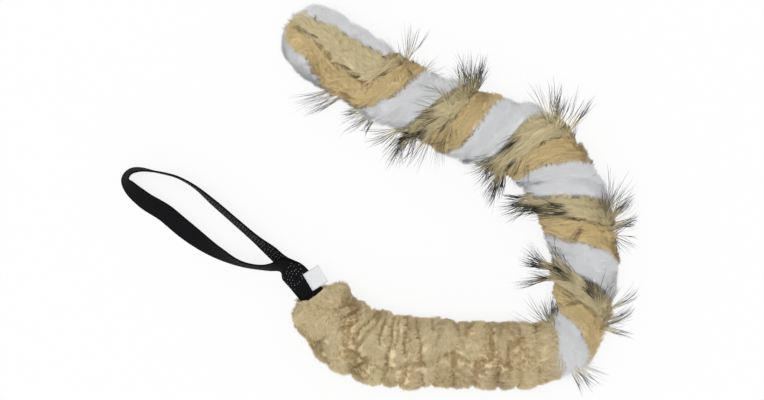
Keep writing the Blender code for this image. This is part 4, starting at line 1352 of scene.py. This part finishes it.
class TUG_OT_stage(bpy.types.Operator):
    """Pale floor, white surround, one soft lamp and a camera straight above"""

    bl_idname = "tugtoy.stage"
    bl_label = "Stage"

    def execute(self, context):
        scene = context.scene
        stage = scene.tug_stage
        centre = SHIFT + PICTURE_CENTRE
        camera = bpy.data.objects.new("Camera", bpy.data.cameras.new("Camera"))
        camera.location = (*centre, stage.distance)
        camera.data.lens = camera.data.sensor_width * (stage.distance - CORE_HEIGHT) / stage.frame_width
        scene.collection.objects.link(camera)
        scene.camera = camera

        size = 4  # metres, of half the floor
        corners = [(-size, -size, 0), (size, -size, 0), (size, size, 0), (-size, size, 0)]
        floor = mesh_piece("floor", corners, [], [(0, 1, 2, 3)], None, self.floor_material(),
                           smooth_shade=False)

        lamp = bpy.data.objects.new("Soft lamp", bpy.data.lights.new("Soft lamp", "SUN"))
        lamp.data.energy = stage.sun
        lamp.data.angle = math.radians(50)
        lamp.rotation_euler = (math.radians(2), math.radians(-7), 0)
        scene.collection.objects.link(lamp)
        self.sky(scene, stage.sky)
        scene.view_settings.view_transform = "Standard"
        return {"FINISHED"}

    def shown(self, n):
        """1 for rays from the camera, and for those that a mirror or glass sends on."""
        path = n.add("ShaderNodeLightPath")
        seen = n.math("MAXIMUM", path.outputs["Is Camera Ray"], path.outputs["Is Glossy Ray"])
        return n.math("MAXIMUM", seen, path.outputs["Is Transmission Ray"])

    def floor_material(self):
        made, n, shader = new_material("floor", 0.9)
        shader.inputs["Base Color"].default_value = (0.88, 0.88, 0.88, 1)
        glow = n.add("ShaderNodeEmission")
        mixed = n.add("ShaderNodeMixShader")
        n.join(n.math("MULTIPLY", self.shown(n), 0.85), mixed.inputs[0])
        n.join(shader.outputs[0], mixed.inputs[1])
        n.join(glow.outputs[0], mixed.inputs[2])
        n.join(mixed.outputs[0], made.node_tree.nodes["Material Output"].inputs["Surface"])
        return made

    def sky(self, scene, strength):
        world = bpy.data.worlds.new("Sky")
        scene.world = world
        world.use_nodes = True
        n = Nodes(world.node_tree)
        background = world.node_tree.nodes["Background"]
        background.inputs["Color"].default_value = (1, 1, 1, 1)
        n.join(n.math("MULTIPLY_ADD", self.shown(n), 1 - strength, strength), background.inputs["Strength"])


class TUG_PT_panel(bpy.types.Panel):
    """Lists the toy's pieces and their settings"""

    bl_idname = "TUG_PT_panel"
    bl_label = "Tug Toy"
    bl_space_type = "VIEW_3D"
    bl_region_type = "UI"
    bl_category = "Tug Toy"

    def draw(self, context):
        for operator in OPERATORS:
            self.layout.operator(operator.bl_idname)
        for name, settings in SETTINGS.items():
            box = self.layout.box()
            for key in settings.__annotations__:
                box.prop(getattr(context.scene, name), key)


SETTINGS = {"tug_webbing": WebbingSettings, "tug_plush": PlushSettings, "tug_fur": FurSettings,
            "tug_stage": StageSettings}
OPERATORS = [TUG_OT_stage, TUG_OT_webbing, TUG_OT_label, TUG_OT_bungee, TUG_OT_sleeve, TUG_OT_tail]
CLASSES = [*SETTINGS.values(), *OPERATORS, TUG_PT_panel]


def register():
    for item in CLASSES:
        bpy.utils.register_class(item)
    for name, settings in SETTINGS.items():
        setattr(bpy.types.Scene, name, PointerProperty(type=settings))


def unregister():
    for name in SETTINGS:
        delattr(bpy.types.Scene, name)
    for item in reversed(CLASSES):
        bpy.utils.unregister_class(item)


def main():
    register()
    pile_group()
    weave_group()
    wear_group()
    bpy.ops.tugtoy.stage()
    bpy.ops.tugtoy.webbing()
    bpy.ops.tugtoy.label()
    bpy.ops.tugtoy.bungee()
    bpy.ops.tugtoy.sleeve()
    bpy.ops.tugtoy.tail()


if __name__ == "__main__":
    main()
